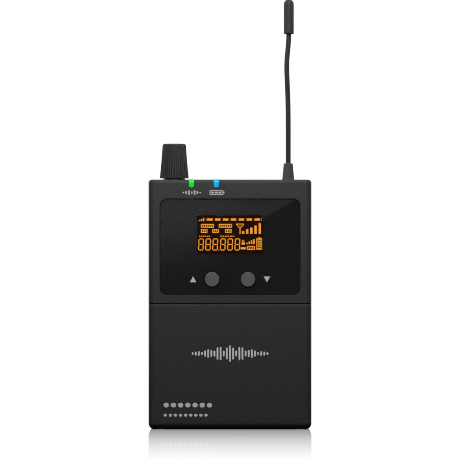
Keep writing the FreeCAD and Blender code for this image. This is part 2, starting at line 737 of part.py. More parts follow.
def rear_shell(case):
    """Tub of the casing: back, sides, top wall and floor."""
    slab = box("shell_slab", WIDE, ("seam_y", "case_depth"), ("-case_height", "2*case_height"))
    blank = common("shell_blank", case, slab)
    seam = value("seam_y")
    eased = bevelled("shell_eased", blank, value("seam_bevel"), lambda edge: flat_at(edge, "y", seam))
    hollow = box(
        "shell_hollow", about(0, INNER_SIDE), ("seam_y - overrun", INNER_BACK), ("wall", INNER_TOP),
    )
    relief = rod("hinge_relief_tool", "hinge_relief", "x", WIDE, ("hinge_y", "hinge_z"))
    shell = less("shell_tub", eased, hollow, relief)
    solids = [shell, hinge_lug(-1), hinge_lug(1)]
    holes = [
        rod("hinge_pin_bore", "pin_radius", "x", WIDE, ("hinge_y", "hinge_z")),
        rod("bushing_hole", "bushing_radius + hole_gap", "z", (f"{INNER_TOP} - overrun",
            "case_height + overrun"), ("knob_x", "0")),
        rod("ring_hole", "ring_radius + hole_gap", "z", (f"{INNER_TOP} - overrun",
            "case_height + overrun"), ("jack_x", "0")),
        rod("stub_hole", "stub_radius", "z", (f"{INNER_TOP} - overrun", "case_height + overrun"),
            ("antenna_x", "0")),
        latch_slot(-1),
        latch_slot(1),
    ]
    for number, place in enumerate(case_screw_places(), 1):
        tube = ("case_boss_end", f"{INNER_BACK} + wall/2")
        solids.append(rod(f"case_tube_{number}", "case_tube_radius", "y", tube, place))
        through = ("case_boss_end - overrun", f"{BACK} + overrun")
        holes.append(rod(f"case_hole_{number}", "case_screw_radius + hole_gap", "y", through, place))
        head = (f"{BACK} - case_head_depth", f"{BACK} + overrun")
        holes.append(rod(f"case_sink_{number}", "case_head_radius + hole_gap*3", "y", head, place))
    for number, place in enumerate(MAIN_SCREW_PLACES, 1):
        boss = (MAIN_BACK, f"{INNER_BACK} + wall/2")
        solids.append(rod(f"main_boss_{number}", "main_boss_radius", "y", boss, place))
        pilot = (f"{MAIN_BACK} - overrun", f"{INNER_BACK}")
        holes.append(rod(f"main_pilot_{number}", "small_screw_radius + hole_gap", "y", pilot, place))
    for number, place in enumerate(clip_screw_places(), 1):
        boss = ("clip_boss_end", f"{INNER_BACK} + wall/2")
        solids.append(rod(f"clip_boss_{number}", "clip_boss_radius", "y", boss, place))
        pilot = ("clip_screw_tip - hole_gap", f"{BACK} + overrun")
        holes.append(rod(f"clip_pilot_{number}", "clip_screw_radius + hole_gap", "y", pilot, place))
    return finished(less("rear_shell_solid", joined("shell_with_bosses", *solids), *holes), "rear_shell")


def door_ear(side):
    """Ear with an inward barb that reaches through the tray to one latch."""
    name = "left_ear" if side < 0 else "right_ear"
    upright = about("latch_height", "ear_half_height")
    stem = box(name + "_stem", beside(side, "ear_inner", "ear_outer"),
               (f"{INNER_FRONT} - wall/2", "ear_end"), upright)
    barb = box(name + "_barb", beside(side, "ear_barb", "ear_inner"), ("ear_end - barb_length", "ear_end"), upright)
    return joined(name, stem, barb)


def battery_door(case):
    """Lower front shell that turns on its rolled foot."""
    plate = box("door_plate", WIDE, ("-case_depth", DOOR_BACK), ("hinge_z", DOOR_TOP))
    skirt = box("door_skirt", WIDE, ("-case_depth", "hinge_y"), ("-case_height", "hinge_z"))
    foot = rod("door_foot", "hinge_z", "x", WIDE, ("hinge_y", "hinge_z"))
    blank = common("door_blank", case, joined("door_slab", plate, skirt, foot))
    split = value("split_height") - value("split_gap") / 2
    back = value("seam_y") - value("door_gap")
    eased = rounded(
        "door_eased", blank, value("door_round"),
        lambda edge: flat_at(edge, "z", split) and not flat_at(edge, "y", back),
    )
    tools = [
        box("door_hollow", about(0, INNER_SIDE), (INNER_FRONT, f"{DOOR_BACK} + overrun"),
            ("2*hinge_z + lug_gap", f"{DOOR_TOP} - lip")),
    ]
    for side in SIDES:
        name = "left" if side < 0 else "right"
        tools.append(box(
            name + "_lug_slot", beside(side, "lug_inner - lug_gap", "lug_outer + lug_gap"),
            ("hinge_y - lug_radius - lug_front_gap", f"{DOOR_BACK} + overrun"),
            ("-overrun", "2*hinge_z + 2*lug_gap"),
        ))
        span = beside(side, "pin_inner - hole_gap", "pin_outer + hole_gap")
        tools.append(rod(name + "_pin_hole", "pin_radius + hole_gap", "x", span, ("hinge_y", "hinge_z")))
    solids = [less("door_tub", eased, *tools), door_ear(-1), door_ear(1)]
    for number in range(3):
        middle = f"door_rib_pitch*{number + 1}"
        solids.append(box(
            f"door_rib_{number}", about(0, INNER_SIDE),
            (f"{INNER_FRONT} - wall/2", f"{INNER_FRONT} + door_rib_height/3"), about(middle, "door_rib_height/2"),
        ))
    return finished(joined("battery_door_solid", *solids), "battery_door")


def hinge_pins():
    """Two steel pins, fast in the lugs, that the door turns on."""
    pins = []
    for side in SIDES:
        name = "left_hinge_pin" if side < 0 else "right_hinge_pin"
        pins.append(rod(name, "pin_radius", "x", beside(side, "pin_inner", "pin_outer"), ("hinge_y", "hinge_z")))
    return finished(group("hinge_pin_pair", pins), "door_hinge_pins")


def case_screws():
    """Four screws from the back through the shell's tubes into the cover."""
    head_face = f"{BACK} - case_head_depth + case_head_height"
    screws = [
        screw(
            f"case_screw_{number}", place, ("case_screw_tip", f"{BACK} - case_head_depth"),
            (f"{BACK} - case_head_depth", head_face), (f"{head_face} - cross_depth", f"{head_face} + overrun"),
            "case_screw_radius", "case_head_radius",
        )
        for number, place in enumerate(case_screw_places(), 1)
    ]
    return finished(group("case_screw_set", screws), "case_screws")


def window_pieces():
    """Smoked lens and the black masking film behind it."""
    through = (f"{FRONT} - overrun", f"{LEDGE_BACK} + overrun")
    holes = [
        rod(f"lens_hole_{number}", "button_radius + button_hole_gap", "y", through, place)
        for number, place in enumerate(button_places(), 1)
    ]
    lens = window_tool("lens_blank", "0", (LENS_FRONT, LENS_BACK))
    doc.recompute()
    cut_lens = less("lens_cut", lens, *holes)
    face = value("case_depth") / -2 + value("lens_recess")
    eased = rounded("window_lens_solid", cut_lens, value("soft_edge"), lambda edge: flat_at(edge, "y", face))
    finished(eased, "window_lens")
    opening = box("mask_opening", about(0, "display_half_width"), through, ("display_bottom", "display_top"))
    mask = window_tool("mask_blank", "0", (LENS_BACK, LEDGE_FRONT))
    finished(less("lens_mask_solid", mask, opening, *holes), "lens_mask")


def display_pieces():
    """Display glass, light guide, frame, contact strip and the board behind them."""
    across = about(0, "display_half_width + glass_margin")
    upright = ("display_bottom - glass_margin", "display_top + glass_margin")
    strip_low = "display_bottom - glass_margin + glass_gap"
    strip_high = f"{strip_low} + strip_height"
    guide = ("display_bottom", "display_top + glass_margin")
    finished(box("lcd_glass_solid", across, (GLASS_FRONT, GLASS_BACK), upright), "lcd_glass")
    finished(box("lcd_backlight_solid", across, (GLASS_BACK, GUIDE_BACK), guide), "lcd_backlight")
    strip = box("lcd_strip_solid", about(0, "display_half_width"), (GLASS_BACK, "board_y"), (strip_low, strip_high))
    finished(strip, "lcd_contact_strip")
    frame = box(
        "holder_frame", about(0, "display_half_width + glass_margin + holder_wall"), (GLASS_FRONT, "board_y"),
        ("display_bottom - glass_margin - holder_wall", "display_top + glass_margin + holder_wall"),
    )
    pocket = box("holder_pocket", across, (f"{GLASS_FRONT} - overrun", GUIDE_BACK), upright)
    slot = box("holder_slot", about(0, "display_half_width"), (GLASS_BACK, "board_y + overrun"),
               (strip_low, strip_high))
    finished(less("lcd_holder_solid", frame, pocket, slot), "lcd_holder")
    board = box("display_board_blank", about(0, "board_half_width"), ("board_y", BOARD_BACK),
                ("board_bottom", "board_top"))
    holes = []
    screws = []
    for number, place in enumerate(board_screw_places(), 1):
        through = ("board_y - overrun", f"{BOARD_BACK} + overrun")
        holes.append(rod(f"board_hole_{number}", "small_screw_radius + hole_gap", "y", through, place))
        head = f"{BOARD_BACK} + small_head_height"
        screws.append(screw(
            f"board_screw_{number}", place, ("board_y - small_screw_reach", BOARD_BACK), (BOARD_BACK, head),
            (f"{head} - cross_depth", f"{head} + overrun"), "small_screw_radius", "small_head_radius",
        ))
    finished(less("display_board_solid", board, *holes), "display_board")
    finished(group("board_screw_set", screws), "display_board_screws")


def push_button(name, x):
    """Round button cap with its flange and stem, turned about its own axis."""
    face = f"{FRONT} - button_proud"
    flange_back = f"{LEDGE_BACK} + button_flange_back"
    points = [
        ("0", face),
        ("button_radius", face),
        ("button_radius", f"{LEDGE_BACK} + hole_gap*3"),
        ("button_flange_radius", f"{LEDGE_BACK} + hole_gap*3"),
        ("button_flange_radius", flange_back),
        ("button_stem_radius", flange_back),
        ("button_stem_radius", "button_stem_end"),
        ("0", "button_stem_end"),
    ]
    body = turned(name + "_body", points, (x, "button_height"), "y")
    front = value("case_depth") / -2 - value("button_proud")
    eased_body(body, name + "_round", "button_round", lambda edge: flat_at(edge, "z", front))
    return finished(body, name)


def push_switch(name, x):
    """Small switch on the display board behind one button."""
    block = box(name + "_block", about(x, "switch_half"), ("switch_front", "board_y"),
                about("button_height", "switch_half"))
    plunger = rod(name + "_plunger", "plunger_radius", "y", ("plunger_front", "switch_front"), (x, "button_height"))
    return finished(joined(name + "_solid", block, plunger), name)


def light_pipe(name, x):
    """Clear pipe: a head that wraps the top front edge, and a leg down to its lamp."""
    half = "light_half_width"
    centre = "light_bottom + light_half_width"
    front = f"{FRONT} - light_front_proud"
    top = "case_height + light_proud"
    head = box(name + "_head", about(x, half), (front, "light_back"), (centre, top))
    face = value("case_depth") / -2 - value("light_front_proud")
    height = value("case_height") + value("light_proud")
    bend = rounded(
        name + "_bend", head, value("top_edge_radius") + value("light_proud"),
        lambda edge: flat_at(edge, "y", face) and flat_at(edge, "z", height),
    )
    nose = rod(name + "_nose", half, "y", (front, f"{INNER_FRONT} + wall/2"), (x, centre))
    leg = box(name + "_leg", about(x, half), (f"{INNER_FRONT} + hole_gap*2", "light_leg_back"),
              ("light_leg_bottom", f"{centre} + hole_gap"))
    return finished(joined(name + "_solid", bend, nose, leg), name)


def lamp(name, x):
    """Lamp on the display board that feeds one light pipe."""
    block = box(name + "_solid", about(x, "lamp_half_width"), ("board_y - lamp_thickness", "board_y"),
                ("lamp_bottom", "lamp_bottom + lamp_height"))
    return finished(block, name)


def knob_flank(name, body):
    """Open sketch of the knob's hollow-sided flank, a little longer than the knob."""
    sketch = body.newObject("Sketcher::SketchObject", name)
    sketch.AttachmentSupport = [(plane_of(body, "XZ_Plane"), "")]
    sketch.MapMode = "FlatFace"
    middle = (value("knob_bottom") + value("knob_top")) / 2
    foot = FreeCAD.Vector(value("knob_bottom_radius"), value("knob_bottom") - value("overrun"), 0)
    waist = FreeCAD.Vector(value("knob_waist_radius"), middle, 0)
    head = FreeCAD.Vector(value("knob_top_radius"), value("knob_top") + value("overrun"), 0)
    sketch.addGeometry(Part.Arc(foot, waist, head), False)
    return sketch


def volume_knob():
    """Ribbed knob, wider at its foot, with a bore and flat for the shaft."""
    body = doc.addObject("PartDesign::Body", "knob_body")
    sketch = body.newObject("Sketcher::SketchObject", "knob_outline")
    sketch.AttachmentSupport = [(plane_of(body, "XZ_Plane"), "")]
    sketch.MapMode = "FlatFace"
    bottom = value("knob_bottom")
    top = value("knob_top")
    skirt = bottom + value("knob_skirt")
    shoulder = top - value("knob_round")
    foot_radius = value("knob_bottom_radius")
    head_radius = value("knob_top_radius")
    hollow = bottom + value("knob_hollow_depth")
    bend = value("knob_round") * (1 - math.sqrt(0.5))
    corners = [
        (foot_radius, skirt), (foot_radius, bottom), (value("knob_hollow_radius"), bottom),
        (value("knob_hollow_radius"), hollow), (value("shaft_radius"), hollow),
        (value("shaft_radius"), value("shaft_top")), (0, value("shaft_top")), (0, top),
        (head_radius - value("knob_round"), top),
    ]
    points = [FreeCAD.Vector(x, z, 0) for x, z in corners]
    for start, end in zip(points, points[1:]):
        sketch.addGeometry(Part.LineSegment(start, end), False)
    rim = FreeCAD.Vector(head_radius - bend, top - bend, 0)
    shoulder_point = FreeCAD.Vector(head_radius, shoulder, 0)
    sketch.addGeometry(Part.Arc(points[-1], rim, shoulder_point), False)
    waist = FreeCAD.Vector(value("knob_waist_radius"), (skirt + shoulder) / 2, 0)
    sketch.addGeometry(Part.Arc(shoulder_point, waist, points[0]), False)
    sketch.solve()
    revolution = body.newObject("PartDesign::Revolution", "knob_turned")
    revolution.Profile = sketch
    revolution.ReferenceAxis = (sketch, ["V_Axis"])
    revolution.Angle = 360
    flank = knob_flank("flute_path", body)
    section = body.newObject("Sketcher::SketchObject", "flute_section")
    section.AttachmentSupport = [(plane_of(body, "XY_Plane"), "")]
    section.MapMode = "FlatFace"
    section.setExpression("AttachmentOffset.Base.z", bound("knob_bottom - overrun"))
    centre = FreeCAD.Vector(value("knob_bottom_radius"), 0, 0)
    section.addGeometry(Part.Circle(centre, FreeCAD.Vector(0, 0, 1), value("flute_radius")), False)
    flute = body.newObject("PartDesign::SubtractivePipe", "knob_flute")
    flute.Profile = section
    flute.Spine = (flank, ["Edge1"])
    doc.recompute()
    ribs = body.newObject("PartDesign::PolarPattern", "knob_ribs")
    ribs.Originals = [flute]
    ribs.Axis = (plane_of(body, "Z_Axis"), [""])
    ribs.Angle = 360
    ribs.setExpression("Occurrences", bound("rib_count"))
    body.Tip = ribs
    body.setExpression("Placement.Base.x", bound("knob_x"))
    return finished(body, "volume_knob")


def volume_control():
    """Shaft, control body with its bushing, and the collar nut on top."""
    shaft = rod("shaft_round", "shaft_radius", "z", ("shaft_bottom", "shaft_top"), ("knob_x", "0"))
    finished(shaft, "volume_shaft")
    block = box("pot_block", about("knob_x", "pot_half"), about(0, "pot_half"), ("pot_bottom", "pot_top"))
    collar_top = "case_height + collar_height"
    bushing = rod("pot_bushing", "bushing_radius", "z", ("pot_top - overrun", collar_top), ("knob_x", "0"))
    bore = rod("pot_bore", "shaft_radius + hole_gap", "z", ("shaft_bottom - hole_gap", f"{collar_top} + overrun"),
               ("knob_x", "0"))
    finished(less("volume_pot_solid", joined("pot_blank", block, bushing), bore), "volume_pot")
    nut = rod("collar_blank", "collar_radius", "z", ("case_height", collar_top), ("knob_x", "0"))
    hole = rod("collar_hole", "bushing_radius", "z", ("case_height - overrun", f"{collar_top} + overrun"),
               ("knob_x", "0"))
    top = value("case_height") + value("collar_height")
    eased = rounded(
        "volume_collar_solid", less("collar_cut", nut, hole), value("soft_edge"),
        lambda edge: flat_at(edge, "z", top) and edge.BoundBox.XLength > 2 * value("bushing_radius") + 0.01,
    )
    finished(eased, "volume_collar")


def headphone_pieces():
    """Socket for a 3.5 mm plug and the ring nut flush with the casing top."""
    floor = "case_height - jack_depth - socket_floor"
    block = box("socket_block", about("jack_x", "socket_half"), about(0, "socket_half"), (floor, INNER_TOP))
    nose = rod("socket_nose", "nose_radius", "z", (f"{INNER_TOP} - overrun", "case_height"), ("jack_x", "0"))
    bore = rod("socket_bore", "jack_radius", "z", ("case_height - jack_depth", "case_height + overrun"),
               ("jack_x", "0"))
    finished(less("headphone_socket_solid", joined("socket_blank", block, nose), bore), "headphone_socket")
    ring = rod("ring_blank", "ring_radius", "z", (INNER_TOP, "case_height"), ("jack_x", "0"))
    hole = rod("ring_inner", "nose_radius", "z", (f"{INNER_TOP} - overrun", "case_height + overrun"),
               ("jack_x", "0"))
    top = value("case_height")
    eased = bevelled(
        "socket_ring_solid", less("ring_cut", ring, hole), value("soft_edge"),
        lambda edge: flat_at(edge, "z", top),
    )
    finished(eased, "socket_ring_nut")


def antenna_pieces():
    """Antenna socket, strap to the board, sleeve, whip and tip."""
    axis = ("antenna_x", "0")
    flange = rod("stub_flange", "stub_flange_radius", "z", (f"{INNER_TOP} - stub_flange_height", INNER_TOP), axis)
    post = rod("stub_post", "stub_radius", "z", ("stub_bottom", "case_height"), axis)
    bore = rod("stub_bore", "whip_radius", "z", ("whip_bottom", "case_height + overrun"), axis)
    finished(less("antenna_socket_solid", joined("stub_blank", flange, post), bore), "antenna_socket")
    low = "stub_bottom - strap_thickness"
    across = about("antenna_x", "strap_width/2")
    strap = joined(
        "antenna_strap_solid",
        box("strap_run", across, ("-strap_width/2", "main_y"), (low, "stub_bottom")),
        box("strap_drop", across, ("main_y - strap_thickness", "main_y"), (f"{low} - strap_width", low)),
    )
    finished(strap, "antenna_strap")
    cone = taper("sleeve_cone", "sleeve_bottom_radius", "sleeve_top_radius", "z", ("case_height", "sleeve_top"), axis)
    hole = rod("sleeve_hole", "whip_radius", "z", ("case_height - overrun", "sleeve_top + overrun"), axis)
    rim = value("sleeve_top")
    eased = rounded(
        "antenna_sleeve_solid", less("sleeve_cut", cone, hole), 2 * value("soft_edge"),
        lambda edge: flat_at(edge, "z", rim) and edge.BoundBox.XLength > 2 * value("whip_radius") + 0.01,
    )
    finished(eased, "antenna_sleeve")
    antenna_whip()
    points = [
        ("whip_radius", "tip_bottom"),
        ("tip_radius", "tip_bottom"),
        ("tip_radius", "tip_top"),
        ("0", "tip_top"),
        ("0", "tip_bore_top"),
        ("whip_radius", "tip_bore_top"),
    ]
    tip = turned("tip_body", points, ("tip_x", "0"))
    dome = value("tip_top")
    eased_body(tip, "tip_dome", "tip_radius - 0.02", lambda edge: flat_at(edge, "z", dome))
    foot = value("tip_bottom")
    outer = value("tip_radius")
    eased_body(
        tip, "tip_foot", "tip_foot_round",
        lambda edge: flat_at(edge, "z", foot) and edge.BoundBox.XLength > 2 * outer - 0.01,
    )
    finished(tip, "antenna_tip")


# Route of the whip as (sideways shift from its foot, height): it stands almost straight, with a
# slight set to one side and back below the tip.
WHIP_ROUTE = [(0.0, 94.0), (0.0, 127.5), (-0.72, 144.4), (0.23, 153.4), (0.23, 161.6)]
ARC_SHARE = 0.45


def bent_route(points):
    """Wire of straight runs joined by tangent arcs, each as large as its runs allow."""
    edges = []
    start = points[0]
    for before, corner, after in zip(points, points[1:], points[2:]):
        arriving = corner - before
        leaving = after - corner
        half_turn = arriving.getAngle(leaving) / 2
        cut = ARC_SHARE * min(arriving.Length, leaving.Length)
        radius = cut / math.tan(half_turn)
        first = corner - arriving.normalize() * cut
        last = corner + leaving.normalize() * cut
        inward = (first + last - corner * 2).normalize()
        middle = corner + inward * (radius / math.cos(half_turn) - radius)
        edges.append(Part.LineSegment(start, first).toShape())
        edges.append(Part.Arc(first, middle, last).toShape())
        start = last
    edges.append(Part.LineSegment(start, points[-1]).toShape())
    return Part.Wire(edges)


def antenna_whip():
    """Springy rubber-covered whip, swept along its route."""
    foot = value("antenna_x")
    route = bent_route([FreeCAD.Vector(foot + shift, 0, height) for shift, height in WHIP_ROUTE])
    ring = Part.Circle(route.Vertexes[0].Point, FreeCAD.Vector(0, 0, 1), value("whip_radius"))
    whip = doc.addObject("Part::Feature", "antenna_whip_solid")
    whip.Shape = route.makePipeShell([Part.Wire(ring.toShape())], True, True)
    expected = math.pi * value("whip_radius") ** 2 * route.Length
    if abs(whip.Shape.Volume / expected - 1) > 0.01:
        raise RuntimeError("the whip's volume doesn't match its length")
    return finished(whip, "antenna_whip")


def main_board_pieces():
    """Main board, its screws, chips, shield and the connector to the display board."""
    board = box("main_board_blank", about(0, "main_half_width"), ("main_y", MAIN_BACK), ("main_bottom", "main_top"))
    notches = []
    for number, place in enumerate(case_screw_places(), 1):
        through = ("main_y - overrun", f"{MAIN_BACK} + overrun")
        notches.append(rod(f"main_notch_{number}", "case_tube_radius + hole_gap*4", "y", through, place))
    screws = []
    for number, place in enumerate(MAIN_SCREW_PLACES, 1):
        through = ("main_y - overrun", f"{MAIN_BACK} + overrun")
        notches.append(rod(f"main_hole_{number}", "small_screw_radius + hole_gap", "y", through, place))
        face = "main_y - small_head_height"
        screws.append(screw(
            f"main_screw_{number}", place, ("main_y", f"{MAIN_BACK} + small_screw_radius*2"), (face, "main_y"),
            (f"{face} - overrun", f"{face} + cross_depth"), "small_screw_radius", "small_head_radius",
        ))
    finished(less("main_board_solid", board, *notches), "main_board")
    finished(group("main_screw_set", screws), "main_board_screws")
    can = box("shield_can", ("shield_left", "shield_right"), ("main_y - shield_height", "main_y"),
              ("shield_bottom", "shield_top"))
    room = box(
        "shield_room", ("shield_left + shield_sheet", "shield_right - shield_sheet"),
        ("main_y - shield_height + shield_sheet", "main_y + overrun"),
        ("shield_bottom + shield_sheet", "shield_top - shield_sheet"),
    )
    finished(less("radio_shield_solid", can, room), "radio_shield")
    solids = [
        box(f"chip_{number}", about(x, width), (MAIN_BACK, f"{MAIN_BACK} + chip_height"), about(z, height))
        for number, (x, z, width, height) in enumerate(CHIP_PLACES, 1)
    ]
    finished(group("chip_set", solids), "board_chips")
    link_pieces()


def link_pieces():
    """Pin connector that joins the two boards."""
    across = about("connector_x", "connector_half_width")
    upright = ("connector_bottom", "connector_top")
    solids = [
        box("link_socket", across, (BOARD_BACK, f"{BOARD_BACK} + connector_head"), upright),
        box("link_header", across, ("main_y - connector_head", "main_y"), upright),
    ]
    for number in range(5):
        pin_x = f"connector_x + ({number} - 2)*pin_pitch"
        solids.append(box(
            f"link_pin_{number}", about(pin_x, "pin_half"),
            (f"{BOARD_BACK} + connector_head/2", "main_y - connector_head/2"),
            about("(connector_bottom + connector_top)/2", "pin_half"),
        ))
    finished(joined("board_connector_solid", *solids), "board_connector")


def side_latch(side):
    """Push latch: button through the side wall, flange, arm and hook, and its coil spring."""
    name = "left_latch" if side < 0 else "right_latch"
    height = about("latch_height", "ridge_half_height")
    face = box(name + "_face", beside(side, "flange_outer - wall/2", "latch_face"),
               about("latch_y", "latch_half_length"), about("latch_height", "latch_half_height"))
    button = rounded(name + "_button", face, value("latch_round"), lambda edge: runs_along(edge, "x"))
    ridge_block = box(name + "_ridge_block", beside(side, "latch_face - wall/2", "latch_ridge"),
                      about("latch_y", "ridge_half_length"), height)
    ridge = rounded(name + "_ridge", ridge_block, value("ridge_round"),
                    lambda edge: runs_along(edge, "x"))
    solids = [
        button,
        ridge,
        box(name + "_flange", beside(side, "flange_inner", "flange_outer"), ("flange_front", "flange_back"),
            about("latch_height", "flange_half_height")),
        box(name + "_arm", beside(side, "hook_inner", "flange_inner"), ("arm_front", "arm_back"), height),
        box(name + "_hook", beside(side, "hook_inner", "hook_outer"), ("flange_front", "arm_back"), height),
        box(name + "_tooth", beside(side, "hook_outer", "hook_tooth"),
            ("flange_front", "flange_front + tooth_length"), height),
        rod(name + "_guide", "guide_radius", "x", beside(side, "guide_end", "flange_inner"),
            ("guide_y", "latch_height")),
    ]
    finished(joined(name + "_solid", *solids), name)
    spring = coil(name + "_coil", "latch_coil_radius", "latch_wire", "latch_turns",
                  beside(side, "seat_outer", "flange_inner"), "x", ("guide_y", "latch_height"))
    finished(spring, name + "_spring")


def battery_tray():
    """Inner moulding: battery bay, the panel above it and the seats of the latch springs."""
    outer = about(0, INNER_SIDE)
    bay = about(0, "bay_half_length")
    back = ("bay_back", "bay_back + tray_wall")
    roof = ("bay_roof", "bay_roof + tray_panel")
    solids = [
        box("tray_back", outer, back, ("wall", "bay_roof + tray_panel")),
        box("tray_roof", outer, ("seam_y", "bay_back"), roof),
        box("tray_panel_plate", outer, ("seam_y", "seam_y + tray_panel"),
            ("bay_roof", f"{DOOR_TOP} - tray_top_gap")),
        box("tray_floor", outer, ("tray_floor_front", "bay_back"), ("wall", "wall + tray_wall")),
    ]
    slots = []
    for side in SIDES:
        name = "left" if side < 0 else "right"
        solids.append(box(name + "_bay_end", beside(side, "bay_half_length", INNER_SIDE),
                          ("tray_floor_front", "bay_back"), ("wall", "bay_roof")))
        solids.append(box(name + "_spring_seat", beside(side, "seat_inner", "seat_outer"),
                          ("seam_y", "guide_y + latch_coil_radius*2"),
                          about("latch_height", "flange_half_height")))
        slots.append(box(name + "_ear_slot", beside(side, "ear_barb - slot_gap", "ear_outer + slot_gap"),
                         ("seam_y - overrun", "seam_y + tray_panel"),
                         about("latch_height + slot_gap/2", "ear_half_height + slot_gap*1.5")))
    solids.append(box("bay_divider_shelf", bay, ("bay_back - tray_wall*2", "bay_back"),
                      about("(lower_battery_z + upper_battery_z)/2", "tray_wall/2")))
    return finished(less("battery_tray_solid", joined("tray_blank", *solids), *slots), "battery_tray")


def battery(name, height, side):
    """AA cell lying across the bay, its stud towards one side."""
    stud_end = "bay_half_length - contact_thickness"
    points = [
        ("0", f"{stud_end} - battery_length"),
        ("battery_radius", f"{stud_end} - battery_length"),
        ("battery_radius", f"{stud_end} - stud_height"),
        ("stud_radius", f"{stud_end} - stud_height"),
        ("stud_radius", stud_end),
        ("0", stud_end),
    ]
    body = turned(name + "_body", points)
    outer = value("battery_radius")
    eased_body(body, name + "_ends", "battery_round", lambda edge: edge.BoundBox.XLength > 2 * outer - 0.01
               and edge.BoundBox.ZLength < 0.001)
    tilt = FreeCAD.Rotation(FreeCAD.Vector(0, 1, 0), 90 * side)
    body.Placement = FreeCAD.Placement(FreeCAD.Vector(), tilt)
    body.setExpression("Placement.Base.y", bound("battery_y"))
    body.setExpression("Placement.Base.z", bound(height))
    return finished(body, name)


def battery_contacts():
    """Contact plates at both ends of the bay and the springs on the negative ones."""
    plates = []
    springs = []
    inner = "bay_half_length - contact_thickness"
    across = about("battery_y", "contact_half_width")
    for side in SIDES:
        name = "left" if side < 0 else "right"
        span = beside(side, inner, "bay_half_length")
        low = about("lower_battery_z", "contact_half_height")
        high = about("upper_battery_z", "contact_half_height")
        if side > 0:
            plates.append(box("bridge_plate", span, across, (low[0], high[1])))
        else:
            plates.append(box(name + "_low_plate", span, across, low))
            plates.append(box(name + "_high_plate", span, across, high))
        height = "lower_battery_z" if side < 0 else "upper_battery_z"
        room = beside(side, "battery_length - bay_half_length + contact_thickness", inner)
        springs.append(coil(name + "_battery_coil", "coil_radius", "coil_wire", "coil_turns", room, "x",
                            ("battery_y", height)))
    finished(group("contact_plate_set", plates), "battery_contacts")
    finished(group("battery_spring_pair", springs), "battery_springs")


def clip_bracket():
    """Plate on the back with two cheeks that hold the clip pin."""
    back = f"{BACK} + bracket_thickness"
    plate = box("bracket_plate", about(0, "bracket_half_width"), (BACK, back), ("bracket_bottom", "bracket_top"))
    corner = value("cheek_radius")
    solids = [rounded("bracket_rounded", plate, corner, lambda edge: runs_along(edge, "y"))]
    for side in SIDES:
        name = "left" if side < 0 else "right"
        span = beside(side, "bracket_half_width - cheek_thickness", "bracket_half_width")
        solids.append(box(name + "_cheek", span, (BACK, "clip_pin_y"), about("clip_pin_z", "cheek_radius")))
        solids.append(rod(name + "_cheek_eye", "cheek_radius", "x", span, ("clip_pin_y", "clip_pin_z")))
        solids.append(box(name + "_gusset", span, (BACK, "clip_pin_y - cheek_radius"),
                          about("clip_pin_z", "cheek_radius*gusset_share")))
    holes = [rod("bracket_pin_hole", "clip_pin_radius", "x", WIDE, ("clip_pin_y", "clip_pin_z"))]
    for number, place in enumerate(clip_screw_places(), 1):
        through = (f"{BACK} - overrun", f"{back} + overrun")
        sink = (f"{back} - clip_head_height", f"{back} + overrun")
        holes.append(rod(f"bracket_hole_{number}", "clip_screw_radius + hole_gap", "y", through, place))
        holes.append(rod(f"bracket_sink_{number}", "clip_head_radius + hole_gap", "y", sink, place))
    return finished(less("clip_bracket_solid", joined("bracket_blank", *solids), *holes), "clip_bracket")


